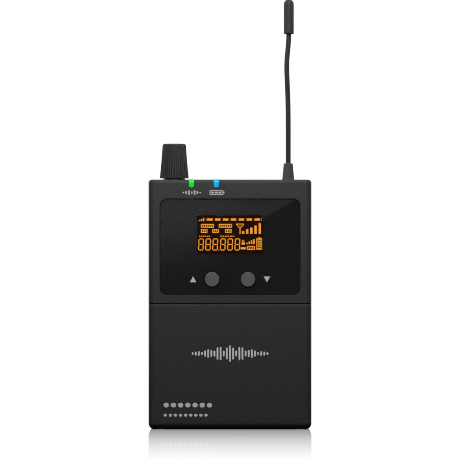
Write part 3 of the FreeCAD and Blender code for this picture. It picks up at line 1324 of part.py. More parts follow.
def belt_clip():
    """Sprung blade with a thumb plate above its pin and a foot that closes on the casing."""
    body = doc.addObject("PartDesign::Body", "clip_body")
    bend = "clip_pin_z + clip_barrel_radius*clip_bend_share"
    outer = "clip_front + clip_thickness"
    foot_face = f"{BACK} + clip_foot_gap"
    points = [
        ("clip_front", bend),
        ("clip_front + clip_lean", "clip_top"),
        ("clip_front + clip_lean + clip_thickness", "clip_top"),
        (outer, bend),
        (outer, "clip_bottom"),
        (f"{outer} - clip_thickness/2", "clip_bottom - clip_thickness/2"),
        (foot_face, "clip_bottom + clip_foot_height/2"),
        (foot_face, "clip_bottom + clip_foot_height"),
        ("clip_front", "clip_bottom + clip_foot_height*clip_bend_share"),
    ]
    sketch = outline(body, "clip_profile", "YZ_Plane", points)
    blade = body.newObject("PartDesign::Pad", "clip_blade")
    blade.Profile = sketch
    blade.setExpression("Length", bound("2*clip_half_width"))
    blade.Midplane = True
    body.Tip = blade
    top = value("clip_top")
    bottom = value("clip_bottom")
    half = value("clip_half_width")

    def corner(edge):
        """Edges through the thumb plate at its two upper corners."""
        limits = edge.BoundBox
        outermost = abs(abs(limits.XMin) - half) < 0.001 and limits.XLength < 0.001
        return outermost and flat_at(edge, "z", top)

    eased_body(body, "clip_corners", "clip_round", corner)

    def long_edge(edge):
        """Long outer edges of the blade, which are eased for the hand."""
        limits = edge.BoundBox
        rear = limits.YMin > value("clip_front") + value("clip_thickness") - 0.01
        return rear and limits.ZLength > 20 and limits.ZMin > bottom - 0.01

    eased_body(body, "clip_eased", "clip_edge", long_edge)
    doc.recompute()
    wide = "bracket_half_width - cheek_thickness - clip_side_gap"
    pin = ("clip_pin_y", "clip_pin_z")
    barrel = rod("clip_barrel", "clip_barrel_radius", "x", about(0, wide), pin)
    web = box("clip_web", about(0, "clip_half_width"), ("clip_pin_y", "clip_front + clip_thickness/2"),
              about("clip_pin_z", "clip_barrel_radius"))
    room = box("clip_spring_room", about(0, "clip_spring_half"),
               ("clip_pin_y - clip_barrel_radius - overrun",
                "clip_pin_y + clip_coil_radius + clip_wire + clip_spring_gap"),
               about("clip_pin_z", "clip_barrel_radius + overrun"))
    bore = rod("clip_bore", "clip_pin_radius + hole_gap", "x", WIDE, pin)
    grooves = []
    for number in range(4):
        height = f"clip_top - clip_groove_pitch*({number} + clip_groove_start)"
        depth = (f"clip_front + clip_thickness + clip_lean*(({height}) - ({bend}))/(clip_top - ({bend}))"
                 " + clip_groove_radius/2")
        across = about(0, "clip_half_width - clip_round/1.5")
        grooves.append(rod(f"grip_groove_{number}", "clip_groove_radius", "x", across, (depth, height)))
    solid = less("belt_clip_solid", joined("clip_blank", body, barrel, web), room, bore, *grooves)
    return finished(solid, "belt_clip")


def clip_hardware():
    """Clip pin, torsion spring and the two screws of the bracket."""
    pin = ("clip_pin_y", "clip_pin_z")
    finished(rod("clip_pin_solid", "clip_pin_radius", "x", about(0, "bracket_half_width"), pin), "clip_pin")
    half = "clip_spring_half - clip_side_gap"
    reach = f"({half} - coil_gap - clip_wire)"
    turns = coil("clip_coil", "clip_coil_radius", "clip_wire", "clip_turns", about(0, half), "x", pin)
    foot = "clip_pin_z - clip_coil_radius"
    front_leg = rod("clip_front_leg", "clip_wire", "y",
                    (f"{BACK} + bracket_thickness + coil_gap", "clip_pin_y"), (f"-{reach}", foot))
    rear_leg = rod("clip_rear_leg", "clip_wire", "y", ("clip_pin_y", "clip_front"), (reach, foot))
    finished(joined("clip_spring_solid", turns, front_leg, rear_leg), "clip_spring")
    face = f"{BACK} + bracket_thickness"
    screws = [
        screw(
            f"clip_screw_{number}", place, ("clip_screw_tip", f"{face} - clip_head_height"),
            (f"{face} - clip_head_height", face), (f"{face} - cross_depth", f"{face} + overrun"),
            "clip_screw_radius", "clip_head_radius",
        )
        for number, place in enumerate(clip_screw_places(), 1)
    ]
    finished(group("clip_screw_pair", screws), "clip_screws")


def check_document():
    """Stops unless every object is sound and every cut removed something."""
    doc.recompute()
    for item in doc.Objects:
        if "Invalid" in item.State or "Error" in item.State:
            raise RuntimeError(f"{item.Label} failed: {item.State}")
        if item.TypeId == "Part::Cut" and not item.Shape.Volume < item.Base.Shape.Volume - 0.001:
            raise RuntimeError(f"{item.Label} cut nothing")
    labels = [piece.Label for piece in PIECES]
    if len(set(labels)) != len(labels):
        raise RuntimeError("two sub-parts share a name")
    for piece in PIECES:
        if piece.Shape.isNull() or not piece.Shape.isValid():
            raise RuntimeError(f"{piece.Label} has no valid shape")


def export():
    """Writes each sub-part to its own file and lists its solids and volume."""
    os.makedirs("parts", exist_ok=True)
    for piece in PIECES:
        piece.Shape.exportStep(f"parts/{piece.Label}.step")
        print(f"{piece.Label:24s} {len(piece.Shape.Solids)} solids {piece.Shape.Volume:10.2f} mm3")
    print(len(PIECES), "sub-parts")


def build():
    case = case_block()
    front_cover(case)
    rear_shell(case)
    battery_door(case)
    hinge_pins()
    case_screws()
    window_pieces()
    display_pieces()
    push_button("up_button", "-button_x")
    push_button("down_button", "button_x")
    push_switch("up_switch", "-button_x")
    push_switch("down_switch", "button_x")
    light_pipe("audio_light_pipe", "audio_light_x")
    light_pipe("battery_light_pipe", "battery_light_x")
    lamp("audio_lamp", "audio_light_x")
    lamp("battery_lamp", "battery_light_x")
    volume_knob()
    volume_control()
    headphone_pieces()
    antenna_pieces()
    main_board_pieces()
    side_latch(-1)
    side_latch(1)
    battery_tray()
    battery("lower_battery", "lower_battery_z", 1)
    battery("upper_battery", "upper_battery_z", -1)
    battery_contacts()
    clip_bracket()
    belt_clip()
    clip_hardware()
    check_document()
    export()


build()
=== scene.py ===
import math

import bmesh
import bpy
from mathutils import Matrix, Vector


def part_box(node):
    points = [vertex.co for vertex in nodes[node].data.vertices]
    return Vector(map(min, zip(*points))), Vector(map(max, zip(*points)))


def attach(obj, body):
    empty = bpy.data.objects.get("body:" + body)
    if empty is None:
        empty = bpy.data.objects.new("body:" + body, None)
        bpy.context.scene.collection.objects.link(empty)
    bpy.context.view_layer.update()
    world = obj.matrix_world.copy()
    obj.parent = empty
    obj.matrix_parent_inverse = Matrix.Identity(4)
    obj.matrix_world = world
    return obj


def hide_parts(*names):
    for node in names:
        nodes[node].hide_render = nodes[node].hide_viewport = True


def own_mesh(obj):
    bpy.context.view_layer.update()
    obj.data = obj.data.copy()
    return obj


# Looks of the body-pack wireless receiver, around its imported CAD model. Metres, in the row frame:
# X across the casing, Y from the display face to the belt clip, Z up from the foot.

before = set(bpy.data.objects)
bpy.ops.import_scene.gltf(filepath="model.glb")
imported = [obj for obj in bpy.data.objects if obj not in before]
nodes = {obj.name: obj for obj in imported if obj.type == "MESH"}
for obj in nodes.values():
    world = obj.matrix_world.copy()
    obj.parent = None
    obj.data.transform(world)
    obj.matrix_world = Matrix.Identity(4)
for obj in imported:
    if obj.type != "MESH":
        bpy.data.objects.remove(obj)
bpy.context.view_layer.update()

MM = 0.001
CAMERA_HEIGHT = 78.4 * MM
CAMERA_AHEAD = 1505 * MM
LENS_LENGTH = 300.0
SENSOR_WIDTH = 36.0

case_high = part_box("rear_shell")[1]
cover_low, cover_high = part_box("front_cover")
door_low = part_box("battery_door")[0]
lens_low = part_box("window_lens")[0]
glass_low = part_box("lcd_glass")[0]
FACE_Y = cover_low.y
HALF_WIDTH = cover_high.x
HALF_DEPTH = case_high.y


# ---------------------------------------------------------------- materials

def grey(level):
    """Linear colour of a neutral surface."""
    return (level, level, level, 1.0)


def tint(red, green, blue):
    """Linear colour from three shares."""
    return (red, green, blue, 1.0)


class Nodes:
    """Shader nodes of a material or world, with short ways to add and join them."""

    def __init__(self, owner):
        self.owner = owner
        self.tree = owner.node_tree

    def add(self, kind, **settings):
        node = self.tree.nodes.new(kind)
        for key, setting in settings.items():
            setattr(node, key, setting)
        return node

    def link(self, source, target):
        self.tree.links.new(source, target)

    def feed(self, source, socket):
        """Gives a socket a number, or what comes out of another node."""
        if isinstance(source, (int, float)):
            socket.default_value = source
        else:
            self.link(source, socket)

    def maths(self, operation, first, second=None):
        node = self.add("ShaderNodeMath", operation=operation)
        for socket, source in zip(node.inputs, (first, second)):
            if source is not None:
                self.feed(source, socket)
        return node.outputs[0]

    def spread(self, source, low, high, to_low=0.0, to_high=1.0, smooth=False):
        """Source taken from low..high to to_low..to_high, held at both ends."""
        node = self.add("ShaderNodeMapRange")
        if smooth:
            node.interpolation_type = "SMOOTHSTEP"
        for key, level in (("From Min", low), ("From Max", high), ("To Min", to_low), ("To Max", to_high)):
            self.feed(level, node.inputs[key])
        self.link(source, node.inputs["Value"])
        return node.outputs["Result"]

    def coordinates(self, kind="Object"):
        """X, Y and Z of one kind of texture coordinates."""
        parts = self.add("ShaderNodeSeparateXYZ")
        self.link(self.add("ShaderNodeTexCoord").outputs[kind], parts.inputs[0])
        return parts.outputs

    def between(self, factor, first, second):
        """Shader between first and second."""
        mix = self.add("ShaderNodeMixShader")
        for socket, source in zip(mix.inputs, (factor, first, second)):
            self.link(source, socket)
        return mix.outputs[0]

    def ray(self, kind):
        """1 where a ray is of this kind, else 0."""
        return self.add("ShaderNodeLightPath").outputs[kind]


class Finish(Nodes):
    """One procedural material: a Principled shader and the nodes that drive it."""

    def __init__(self, name, colour, roughness):
        self.material = bpy.data.materials.new(name)
        self.material.use_nodes = True
        super().__init__(self.material)
        self.shader = self.tree.nodes["Principled BSDF"]
        self.output = self.tree.nodes["Material Output"]
        self.place = self.add("ShaderNodeTexCoord").outputs["Object"]
        self.colour = colour
        self.normal = None
        self.shader.inputs["Base Color"].default_value = colour
        self.shader.inputs["Roughness"].default_value = roughness

    def set(self, **levels):
        """Constant levels on the shader's own sockets."""
        for key, level in levels.items():
            self.shader.inputs[key.replace("_", " ")].default_value = level
        return self

    def stretched(self, scale):
        """Object coordinates, scaled apart along each axis."""
        mapping = self.add("ShaderNodeMapping")
        mapping.inputs["Scale"].default_value = scale
        self.link(self.place, mapping.inputs["Vector"])
        return mapping.outputs["Vector"]

    def noise(self, size, detail=2.0, stretch=None, distortion=0.0):
        """Cloudy pattern whose patches are about size millimetres."""
        node = self.add("ShaderNodeTexNoise")
        node.inputs["Scale"].default_value = 1 / (size * MM)
        node.inputs["Detail"].default_value = detail
        node.inputs["Distortion"].default_value = distortion
        self.link(self.stretched(stretch) if stretch else self.place, node.inputs["Vector"])
        return node.outputs["Fac"]

    def cells(self, size):
        """Distance to the nearest cell centre, in cells of about size millimetres."""
        node = self.add("ShaderNodeTexVoronoi")
        node.inputs["Scale"].default_value = 1 / (size * MM)
        self.link(self.place, node.inputs["Vector"])
        return node.outputs["Distance"]

    def axis(self, name):
        """One object coordinate."""
        node = self.add("ShaderNodeSeparateXYZ")
        self.link(self.place, node.inputs["Vector"])
        return node.outputs[name]

    def mixed(self, factor, first, second):
        """Colour between first and second."""
        node = self.add("ShaderNodeMix", data_type="RGBA")
        self.link(factor, node.inputs["Factor"])
        for key, source in ((6, first), (7, second)):
            if isinstance(source, tuple):
                node.inputs[key].default_value = source
            else:
                self.link(source, node.inputs[key])
        return node.outputs[2]

    def paint(self, colour):
        self.link(colour, self.shader.inputs["Base Color"])
        return self

    def mottle(self, factor, share):
        """Base colour varied by a share, darker and lighter."""
        dark = tuple(c * (1 - share) for c in self.colour[:3]) + (1.0,)
        light = tuple(min(1.0, c * (1 + share)) for c in self.colour[:3]) + (1.0,)
        return self.paint(self.mixed(self.spread(factor, 0.3, 0.7), dark, light))

    def rough(self, factor, low, high):
        self.link(self.spread(factor, 0.3, 0.7, low, high), self.shader.inputs["Roughness"])
        return self

    def bump(self, height, depth, strength=1.0):
        """Relief of depth millimetres, on top of any earlier relief."""
        node = self.add("ShaderNodeBump")
        node.inputs["Strength"].default_value = strength
        node.inputs["Distance"].default_value = depth * MM
        self.link(height, node.inputs["Height"])
        if self.normal is not None:
            self.link(self.normal, node.inputs["Normal"])
        self.normal = node.outputs["Normal"]
        self.link(self.normal, self.shader.inputs["Normal"])
        return self

    def glow(self, colour, strength):
        """Emission of one colour, or of a colour from nodes."""
        if isinstance(colour, tuple):
            self.shader.inputs["Emission Color"].default_value = colour
        else:
            self.link(colour, self.shader.inputs["Emission Color"])
        self.shader.inputs["Emission Strength"].default_value = strength
        return self


def moulded(name, level, roughness, grain=0.30, depth=0.016, share=0.10, specular=0.5, cloud=0.2):
    """Moulded black or grey plastic with a spark-eroded grain and a little slow mottling."""
    finish = Finish(name, grey(level), roughness)
    fine = finish.noise(grain, 3.0)
    slow = finish.noise(5.0, 2.0)
    fine_share = finish.maths("MULTIPLY", fine, 1 - cloud)
    slow_share = finish.maths("MULTIPLY", slow, cloud)
    finish.mottle(finish.maths("ADD", fine_share, slow_share), share)
    finish.rough(fine, roughness - 0.04, roughness + 0.04)
    finish.bump(fine, depth)
    finish.set(Specular_IOR_Level=specular)
    return finish


def metal(name, colour, roughness, stretch=None, size=0.25, depth=0.002):
    """Bare or plated metal with fine drawn or turned lines."""
    finish = Finish(name, colour, roughness)
    lines = finish.noise(size, 3.0, stretch)
    patch = finish.noise(2.5, 2.0)
    finish.mottle(patch, 0.06)
    finish.rough(lines, roughness - 0.06, roughness + 0.08)
    finish.bump(lines, depth)
    finish.set(Metallic=1.0)
    return finish


def casing_plastic():
    """Matte black casing with its fine grain."""
    finish = moulded(
        "casing_black", 0.0335, 0.56, grain=0.5, depth=0.020, share=0.42, specular=0.2, cloud=0.05,
    )
    finish.set(Coat_Weight=0.4, Coat_Roughness=0.15)
    return finish.material


def knob_plastic():
    """Knob moulding, a little smoother on its ribs, lighter in patches towards the top, with painted shade
    in the grooves between its ribs.
    """
    body = grey(0.031)
    finish = Finish("knob_black", body, 0.5)
    fine = finish.noise(0.4, 3.0)
    height = finish.axis("Z")
    # Lighter in patches towards the top of the knob, from 99 to 112 mm up.
    lighter_from = 99 * MM
    lighter_to = 112 * MM
    toward_top = finish.spread(height, lighter_from, lighter_to)
    top_patches = finish.maths("MULTIPLY", toward_top, finish.spread(fine, 0.45, 0.65))
    patched_body = finish.mixed(top_patches, body, grey(0.040))
    # Painted shade: where the occlusion reaches, in the grooves between the ribs, the colour goes to near
    # black.
    shade = finish.add("ShaderNodeAmbientOcclusion", samples=8)
    shade.inputs["Distance"].default_value = 0.5 * MM
    open_share = finish.spread(shade.outputs["AO"], 0.55, 0.95)
    finish.paint(finish.mixed(open_share, grey(0.004), patched_body))
    finish.rough(fine, 0.42, 0.52)
    finish.bump(fine, 0.008)
    return finish.material


def rubber(name, level):
    """Antenna rubber: soft sheen, faint drawn lines along its length and a dusty bloom."""
    finish = Finish(name, grey(level), 0.5)
    drawn = finish.noise(0.6, 2.0, stretch=(1.0, 1.0, 0.05))
    bloom = finish.noise(5.0, 2.0)
    finish.mottle(bloom, 0.10)
    finish.rough(drawn, 0.5, 0.6)
    finish.bump(drawn, 0.0015)
    finish.set(Sheen_Weight=0.05, Sheen_Roughness=0.5)
    return finish.material


def lens_material():
    """Clear acrylic window that lamps shine through, with the faint haze of a wiped surface."""
    finish = Finish("lens_clear", grey(0.92), 0.02)
    haze = finish.noise(9.0, 3.0, stretch=(1.0, 1.0, 2.2), distortion=0.6)
    finish.rough(haze, 0.0, 0.012)
    finish.paint(finish.mixed(haze, grey(0.90), grey(0.94)))
    finish.set(IOR=1.49, Transmission_Weight=1.0)
    clear = finish.add("ShaderNodeBsdfTransparent")
    clear.inputs["Color"].default_value = grey(0.85)
    seen = finish.between(finish.ray("Is Shadow Ray"), finish.shader.outputs[0], clear.outputs[0])
    finish.link(seen, finish.output.inputs["Surface"])
    return finish.material


def mask_material():
    """Gloss-black printed film behind the lens."""
    finish = Finish("mask_black", grey(0.004), 0.04)
    cloud = finish.noise(3.0, 3.0)
    finish.mottle(cloud, 0.2)
    finish.rough(cloud, 0.005, 0.02)
    finish.set(Specular_IOR_Level=0.3)
    return finish.material


def display_back():
    """Face of the display: near-black with the backlight's amber leaking through."""
    finish = Finish("display_dark", tint(0.002, 0.0005, 0.0001), 0.25)
    leak = finish.noise(6.0, 2.0)
    across = finish.maths("ABSOLUTE", finish.axis("X"))
    edge = finish.spread(across, 6 * MM, 13.5 * MM, 1.0, 0.55, smooth=True)
    level = finish.maths("MULTIPLY", finish.spread(leak, 0.3, 0.7, 0.8, 1.1), edge)
    finish.glow(finish.mixed(level, tint(0.006, 0.0014, 0.0001), tint(0.014, 0.0028, 0.0001)), 0.8)
    finish.rough(leak, 0.2, 0.3)
    finish.set(Specular_IOR_Level=0.15)
    return finish.material


def segment_glow():
    """Lit amber display segment, a little uneven as a backlight is."""
    finish = Finish("segment_amber", tint(0.16, 0.06, 0.008), 0.5)
    patch = finish.noise(2.2, 2.0)
    bright = finish.mixed(finish.spread(patch, 0.3, 0.7), tint(0.86, 0.29, 0.018), tint(1.0, 0.38, 0.042))
    finish.glow(bright, 1.0)
    finish.set(Specular_IOR_Level=0.2)
    return finish.material


def light_pipe(name, core, rim):
    """Lit light pipe: brightest where it bends over the edge, deeper in colour away from it."""
    finish = Finish(name, tuple(0.1 * c for c in core[:3]) + (1.0,), 0.3)
    patch = finish.noise(1.2, 2.0)
    deep = finish.spread(finish.axis("Z"), cover_high.z - 1.6 * MM, cover_high.z - 0.6 * MM, 1.0, 0.0)
    away = finish.maths("MULTIPLY", deep, finish.spread(patch, 0.3, 0.7, 0.8, 1.0))
    finish.glow(finish.mixed(away, core, rim), 0.92)
    finish.set(Specular_IOR_Level=0.3)
    return finish.material


def ink(name, level, grain=0.35):
    """Screen-printed ink: flat, with the casing's grain showing through."""
    finish = Finish(name, grey(level), 0.6)
    fine = finish.noise(grain, 3.0)
    finish.mottle(fine, 0.12)
    finish.rough(fine, 0.55, 0.68)
    finish.bump(fine, 0.006)
    return finish.material


def board_material():
    """Green solder mask with tracks and plated dots under it."""
    finish = Finish("board_green", tint(0.010, 0.085, 0.030), 0.32)
    node = finish.add("ShaderNodeTexBrick")
    node.inputs["Scale"].default_value = 1 / (2.4 * MM)
    node.inputs["Mortar Size"].default_value = 0.11
    node.inputs["Color1"].default_value = grey(0.0)
    node.inputs["Color2"].default_value = grey(0.15)
    node.inputs["Mortar"].default_value = grey(1.0)
    turned = finish.add("ShaderNodeMapping")
    turned.inputs["Rotation"].default_value = (math.radians(90), 0, 0)
    finish.link(finish.place, turned.inputs["Vector"])
    finish.link(turned.outputs["Vector"], node.inputs["Vector"])
    dots = finish.spread(finish.cells(1.9), 0.10, 0.16, 1.0, 0.0)
    green = finish.mixed(node.outputs["Color"], tint(0.008, 0.070, 0.026), tint(0.022, 0.155, 0.058))
    finish.paint(finish.mixed(dots, green, tint(0.55, 0.48, 0.33)))
    finish.rough(finish.noise(0.8), 0.26, 0.38)
    finish.bump(node.outputs["Color"], 0.02)
    return finish.material


def battery_sleeve(name, plus_x, minus_x):
    """Printed sleeve of one cell: graphite body, a pale band and bare ends."""
    finish = Finish(name, tint(0.02, 0.035, 0.07), 0.3)
    along = finish.spread(finish.axis("X"), minus_x, plus_x)
    bend = finish.noise(3.0, 2.0)
    body = finish.mixed(bend, tint(0.016, 0.030, 0.060), tint(0.026, 0.046, 0.088))
    band = finish.maths("MULTIPLY", finish.maths("GREATER_THAN", along, 0.66),
                        finish.maths("LESS_THAN", along, 0.90))
    stripe = finish.maths("MULTIPLY", finish.maths("GREATER_THAN", along, 0.62),
                          finish.maths("LESS_THAN", along, 0.64))
    banded = finish.mixed(finish.maths("MAXIMUM", band, stripe), body, tint(0.60, 0.61, 0.60))
    bare = finish.maths("MAXIMUM", finish.maths("GREATER_THAN", along, 0.962),
                        finish.maths("LESS_THAN", along, 0.014))
    finish.paint(finish.mixed(bare, banded, tint(0.62, 0.60, 0.56)))
    finish.link(bare, finish.shader.inputs["Metallic"])
    finish.rough(bend, 0.24, 0.36)
    finish.set(Coat_Weight=0.4, Coat_Roughness=0.15)
    return finish.material


def chip_resin():
    """Moulded chip bodies, dull with fine filler."""
    return moulded("chip_black", 0.018, 0.62, grain=0.12, depth=0.004, share=0.2).material


def silicone():
    """Layered rubber contact strip."""
    finish = Finish("strip_pink", tint(0.42, 0.20, 0.17), 0.55)
    layers = finish.noise(0.3, 1.0, stretch=(4.0, 0.2, 0.2))
    finish.mottle(layers, 0.25)
    finish.bump(layers, 0.01)
    return finish.material


def guide_material():
    """Milky light guide, lit amber from behind."""
    finish = Finish("guide_milky", tint(0.8, 0.62, 0.4), 0.4)
    patch = finish.noise(2.0)
    finish.mottle(patch, 0.08)
    finish.glow(tint(0.8, 0.3, 0.04), 0.25)
    return finish.material


def lamp_material():
    """Yellowish lamp resin."""
    finish = Finish("lamp_yellow", tint(0.7, 0.62, 0.3), 0.3)
    finish.mottle(finish.noise(0.4), 0.12)
    return finish.material


def make_materials():
    """Material of every slot in the record, by the slot's name."""
    return {
        "case_plastic": casing_plastic(),
        "clip_plastic": moulded("clip_black", 0.030, 0.50, grain=0.45, depth=0.018).material,
        "latch_plastic": moulded("latch_black", 0.034, 0.5, grain=0.3, depth=0.012).material,
        "inner_plastic": moulded("inner_black", 0.022, 0.48, grain=0.5, depth=0.008).material,
        "knob_plastic": knob_plastic(),
        "collar_plastic": moulded("collar_black", 0.010, 0.42, grain=0.3, depth=0.006).material,
        "button_plastic": moulded("button_grey", 0.096, 0.48, grain=0.26, depth=0.014, share=0.10).material,
        "switch_plastic": moulded("switch_black", 0.03, 0.45, grain=0.3, depth=0.005).material,
        "socket_plastic": moulded("socket_black", 0.02, 0.4, grain=0.3, depth=0.004).material,
        "lens_acrylic": lens_material(),
        "mask_film": mask_material(),
        "display_glass": display_back(),
        "light_guide": guide_material(),
        "silicone": silicone(),
        "green_light": light_pipe("pipe_green", tint(0.010, 1.0, 0.040), tint(0.002, 0.55, 0.02)),
        "blue_light": light_pipe("pipe_blue", tint(0.008, 0.58, 1.0), tint(0.002, 0.30, 0.70)),
        "lamp_resin": lamp_material(),
        "circuit_board": board_material(),
        "chip_resin": chip_resin(),
        "tinned_sheet": metal("tin_sheet", tint(0.62, 0.62, 0.60), 0.36, (1.0, 1.0, 0.1)).material,
        "bright_steel": metal("steel_bright", tint(0.60, 0.60, 0.60), 0.28, (1.0, 1.0, 0.1)).material,
        "black_steel": metal("steel_black", tint(0.05, 0.05, 0.052), 0.38).material,
        "nickel": metal("nickel_plate", tint(0.62, 0.59, 0.54), 0.24).material,
        "brass": metal("brass_turned", tint(0.72, 0.52, 0.22), 0.28, (1.0, 1.0, 6.0)).material,
    }


OWN_FINISHES = {
    "antenna_sleeve": ("sleeve_rubber", 0.042),
    "antenna_whip": ("whip_rubber", 0.020),
    "antenna_tip": ("tip_rubber", 0.0215),
}


def paint_nodes():
    """Gives every CAD node its procedural material."""
    finishes = make_materials()
    for name, node in nodes.items():
        for place, old in enumerate(node.data.materials):
            slot = old.name.split(".")[0]
            if name in OWN_FINISHES:
                node.data.materials[place] = rubber(*OWN_FINISHES[name])
            elif slot == "battery_can":
                low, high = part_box(name)
                plus, minus = (low.x, high.x) if name == "lower_battery" else (high.x, low.x)
                node.data.materials[place] = battery_sleeve(name + "_sleeve", plus, minus)
            else:
                node.data.materials[place] = finishes[slot]
    return finishes


# ---------------------------------------------------------------- mesh helpers

class Sheet:
    """Flat printed or lit shapes of one piece, all cut from a thin layer facing -Y."""

    def __init__(self, front, back):
        self.mesh = bmesh.new()
        self.front = front
        self.back = back

    def shape(self, outline):
        """One closed outline of (x, z) points in millimetres, as a thin solid."""
        area = sum(a[0] * b[1] - b[0] * a[1] for a, b in zip(outline, outline[1:] + outline[:1]))
        if area < 0:
            outline = outline[::-1]
        rings = []
        for y in (self.front, self.back):
            rings.append([self.mesh.verts.new((x * MM, y, z * MM)) for x, z in outline])
        fore, aft = rings
        self.mesh.faces.new(fore)
        self.mesh.faces.new(aft[::-1])
        for i in range(len(outline)):
            j = (i + 1) % len(outline)
            self.mesh.faces.new((fore[i], aft[i], aft[j], fore[j]))
        return self

    def bar(self, left, right, low, high, slant=0.0):
        """Rectangle, its top shifted sideways by slant per millimetre of height."""
        lean_low = slant * low
        lean_high = slant * high
        return self.shape([(left + lean_low, low), (right + lean_low, low),
                           (right + lean_high, high), (left + lean_high, high)])

    def pill(self, left, right, low, high, round_by=None):
        """Rectangle with rounded corners."""
        most = min(right - left, high - low) / 2
        radius = most if round_by is None else min(round_by, most)
        corners = [(right - radius, low + radius, -90), (right - radius, high - radius, 0),
                   (left + radius, high - radius, 90), (left + radius, low + radius, 180)]
        outline = []
        for x, z, start in corners:
            for step in range(5):
                angle = math.radians(start + step * 22.5)
                outline.append((x + radius * math.cos(angle), z + radius * math.sin(angle)))
        return self.shape(clean(outline))

    def frame(self, left, right, low, high, stroke):
        """Outline of a rectangle, as four bars that meet without overlapping."""
        self.bar(left, right, low, low + stroke)
        self.bar(left, right, high - stroke, high)
        self.bar(left, left + stroke, low + stroke, high - stroke)
        self.bar(right - stroke, right, low + stroke, high - stroke)
        return self

    def piece(self, name, material, body):
        """Finished object, riding on its body."""
        bmesh.ops.recalc_face_normals(self.mesh, faces=self.mesh.faces)
        data = bpy.data.meshes.new(name)
        self.mesh.to_mesh(data)
        self.mesh.free()
        data.materials.append(material)
        item = bpy.data.objects.new(name, data)
        bpy.context.scene.collection.objects.link(item)
        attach(item, body)
        return item


def clean(outline):
    """Outline without repeated points."""
    kept = []
    for point in outline:
        if not kept or math.dist(point, kept[-1]) > 1e-4:
            kept.append(point)
    if math.dist(kept[0], kept[-1]) < 1e-4:
        kept.pop()
    return kept


# ---------------------------------------------------------------- display

LAYER = 0.03 * MM
DISPLAY_TOP = 84.2
DISPLAY_BOTTOM = 68.9
DISPLAY_HALF = 12.94


def seven_segments(sheet, centre, low, high, half, stroke, slant):
    """All seven segments of one digit, with small gaps between them."""
    middle = (low + high) / 2
    gap = 0.07
    lean = centre - slant * middle

    def level(z, reach):
        pinch = stroke / 2
        outline = [(-reach, z), (-reach + pinch, z - pinch), (reach - pinch, z - pinch),
                   (reach, z), (reach - pinch, z + pinch), (-reach + pinch, z + pinch)]
        sheet.shape([(lean + x + slant * height, height) for x, height in outline])

    def upright(x, foot, top):
        pinch = stroke / 2
        outline = [(x, foot), (x + pinch, foot + pinch), (x + pinch, top - pinch),
                   (x, top), (x - pinch, top - pinch), (x - pinch, foot + pinch)]
        sheet.shape([(lean + offset + slant * height, height) for offset, height in outline])

    reach = half - stroke / 2
    for z in (low + stroke / 2, middle, high - stroke / 2):
        level(z, reach - gap)
    for x in (-reach, reach):
        upright(x, low + stroke / 2 + gap, middle - gap)
        upright(x, middle + gap, high - stroke / 2 - gap)


def slotted_block(sheet, left, right, low, high, slots):
    """Lit block with a row of small dark slots through its middle."""
    rim = (high - low) * 0.27
    sheet.bar(left, right, low, low + rim)
    sheet.bar(left, right, high - rim, high)
    step = (right - left - 0.5) / slots
    foot = low + rim
    top = high - rim
    sheet.bar(left, left + 0.36, foot, top)
    sheet.bar(right - 0.36, right, foot, top)
    for number in range(1, slots):
        x = left + 0.25 + step * number
        sheet.bar(x - 0.13, x + 0.13, foot, top)


def rising_bars(sheet, lefts, width, foot, tops):
    """Row of bars that rise to the right."""
    for left, top in zip(lefts, tops):
        sheet.bar(left, left + width, foot, top)


def display_segments():
    """Everything lit on the display, in one layer just in front of its glass."""
    sheet = Sheet(glass_low.y - LAYER - 0.01 * MM, glass_low.y - 0.01 * MM)
    rising_bars(sheet, (-12.2, -11.4, -10.6), 0.5, 81.9, (82.4, 82.75, 83.1))
    for number in range(7):
        centre = -7.92 + 3.105 * number
        sheet.bar(centre - 1.08, centre + 1.08, 82.08, 82.98)
    for x in (-9.45, 12.25):
        sheet.bar(x, x + 0.12, 81.9, 83.15)
    slotted_block(sheet, -11.45, -6.3, 79.3, 80.8, 6)
    slotted_block(sheet, -4.4, 0.8, 79.3, 80.8, 6)
    for left in (-11.45, -6.95, -1.95):
        slotted_block(sheet, left, left + 2.6, 77.25, 78.7, 3)
    aerial_icon(sheet, 3.95, 76.85, 80.9)
    rising_bars(sheet, (4.7, 6.3, 7.95, 9.6, 11.25), 0.92, 76.85, (78.0, 78.75, 79.35, 80.15, 81.1))
    for left, right in ((-12.2, -7.6), (-3.9, 2.0)):
        dashes = 6
        step = (right - left) / dashes
        for number in range(dashes):
            start = left + step * number
            sheet.bar(start, start + step * 0.66, 75.75, 76.15)
    for centre in (-11.4, -8.6, -5.8, -2.8, 0.05, 2.9):
        seven_segments(sheet, centre, 70.35, 75.1, 1.08, 0.38, 0.05)
    sheet.pill(-4.62, -4.2, 70.35, 70.77)
    lock_icon(sheet)
    sheet.bar(4.2, 6.2, 70.8, 71.6)
    rising_bars(sheet, (6.4, 7.3, 8.2, 9.1), 0.58, 72.85, (73.4, 73.85, 74.3, 74.75))
    slotted_block(sheet, 6.7, 9.8, 70.6, 72.1, 3)
    battery_icon(sheet, 10.35, 12.6, 70.6, 75.55)
    return sheet.piece("display_segments", segment_glow(), "casing")


def aerial_icon(sheet, centre, foot, top):
    """Aerial sign: a stem under a spread of three strokes."""
    fork = 79.2
    half = 0.2
    sheet.bar(centre - half, centre + half, foot, fork)
    sheet.bar(centre - 1.6, centre + 1.6, top - 0.3, top)
    for side in (-1, 1):
        outline = [(centre + side * 0.1, fork), (centre + side * 0.42, fork),
                   (centre + side * 1.6, top - 0.3), (centre + side * 1.15, top - 0.3)]
        sheet.shape(outline)
    sheet.bar(centre - 0.09, centre + 0.09, fork, top - 0.3)


def lock_icon(sheet):
    """Padlock sign: a body under a shackle."""
    sheet.bar(4.6, 5.8, 72.6, 73.6)
    sheet.bar(4.8, 5.0, 73.6, 74.3)
    sheet.bar(5.4, 5.6, 73.6, 74.3)
    sheet.bar(4.8, 5.6, 74.3, 74.5)


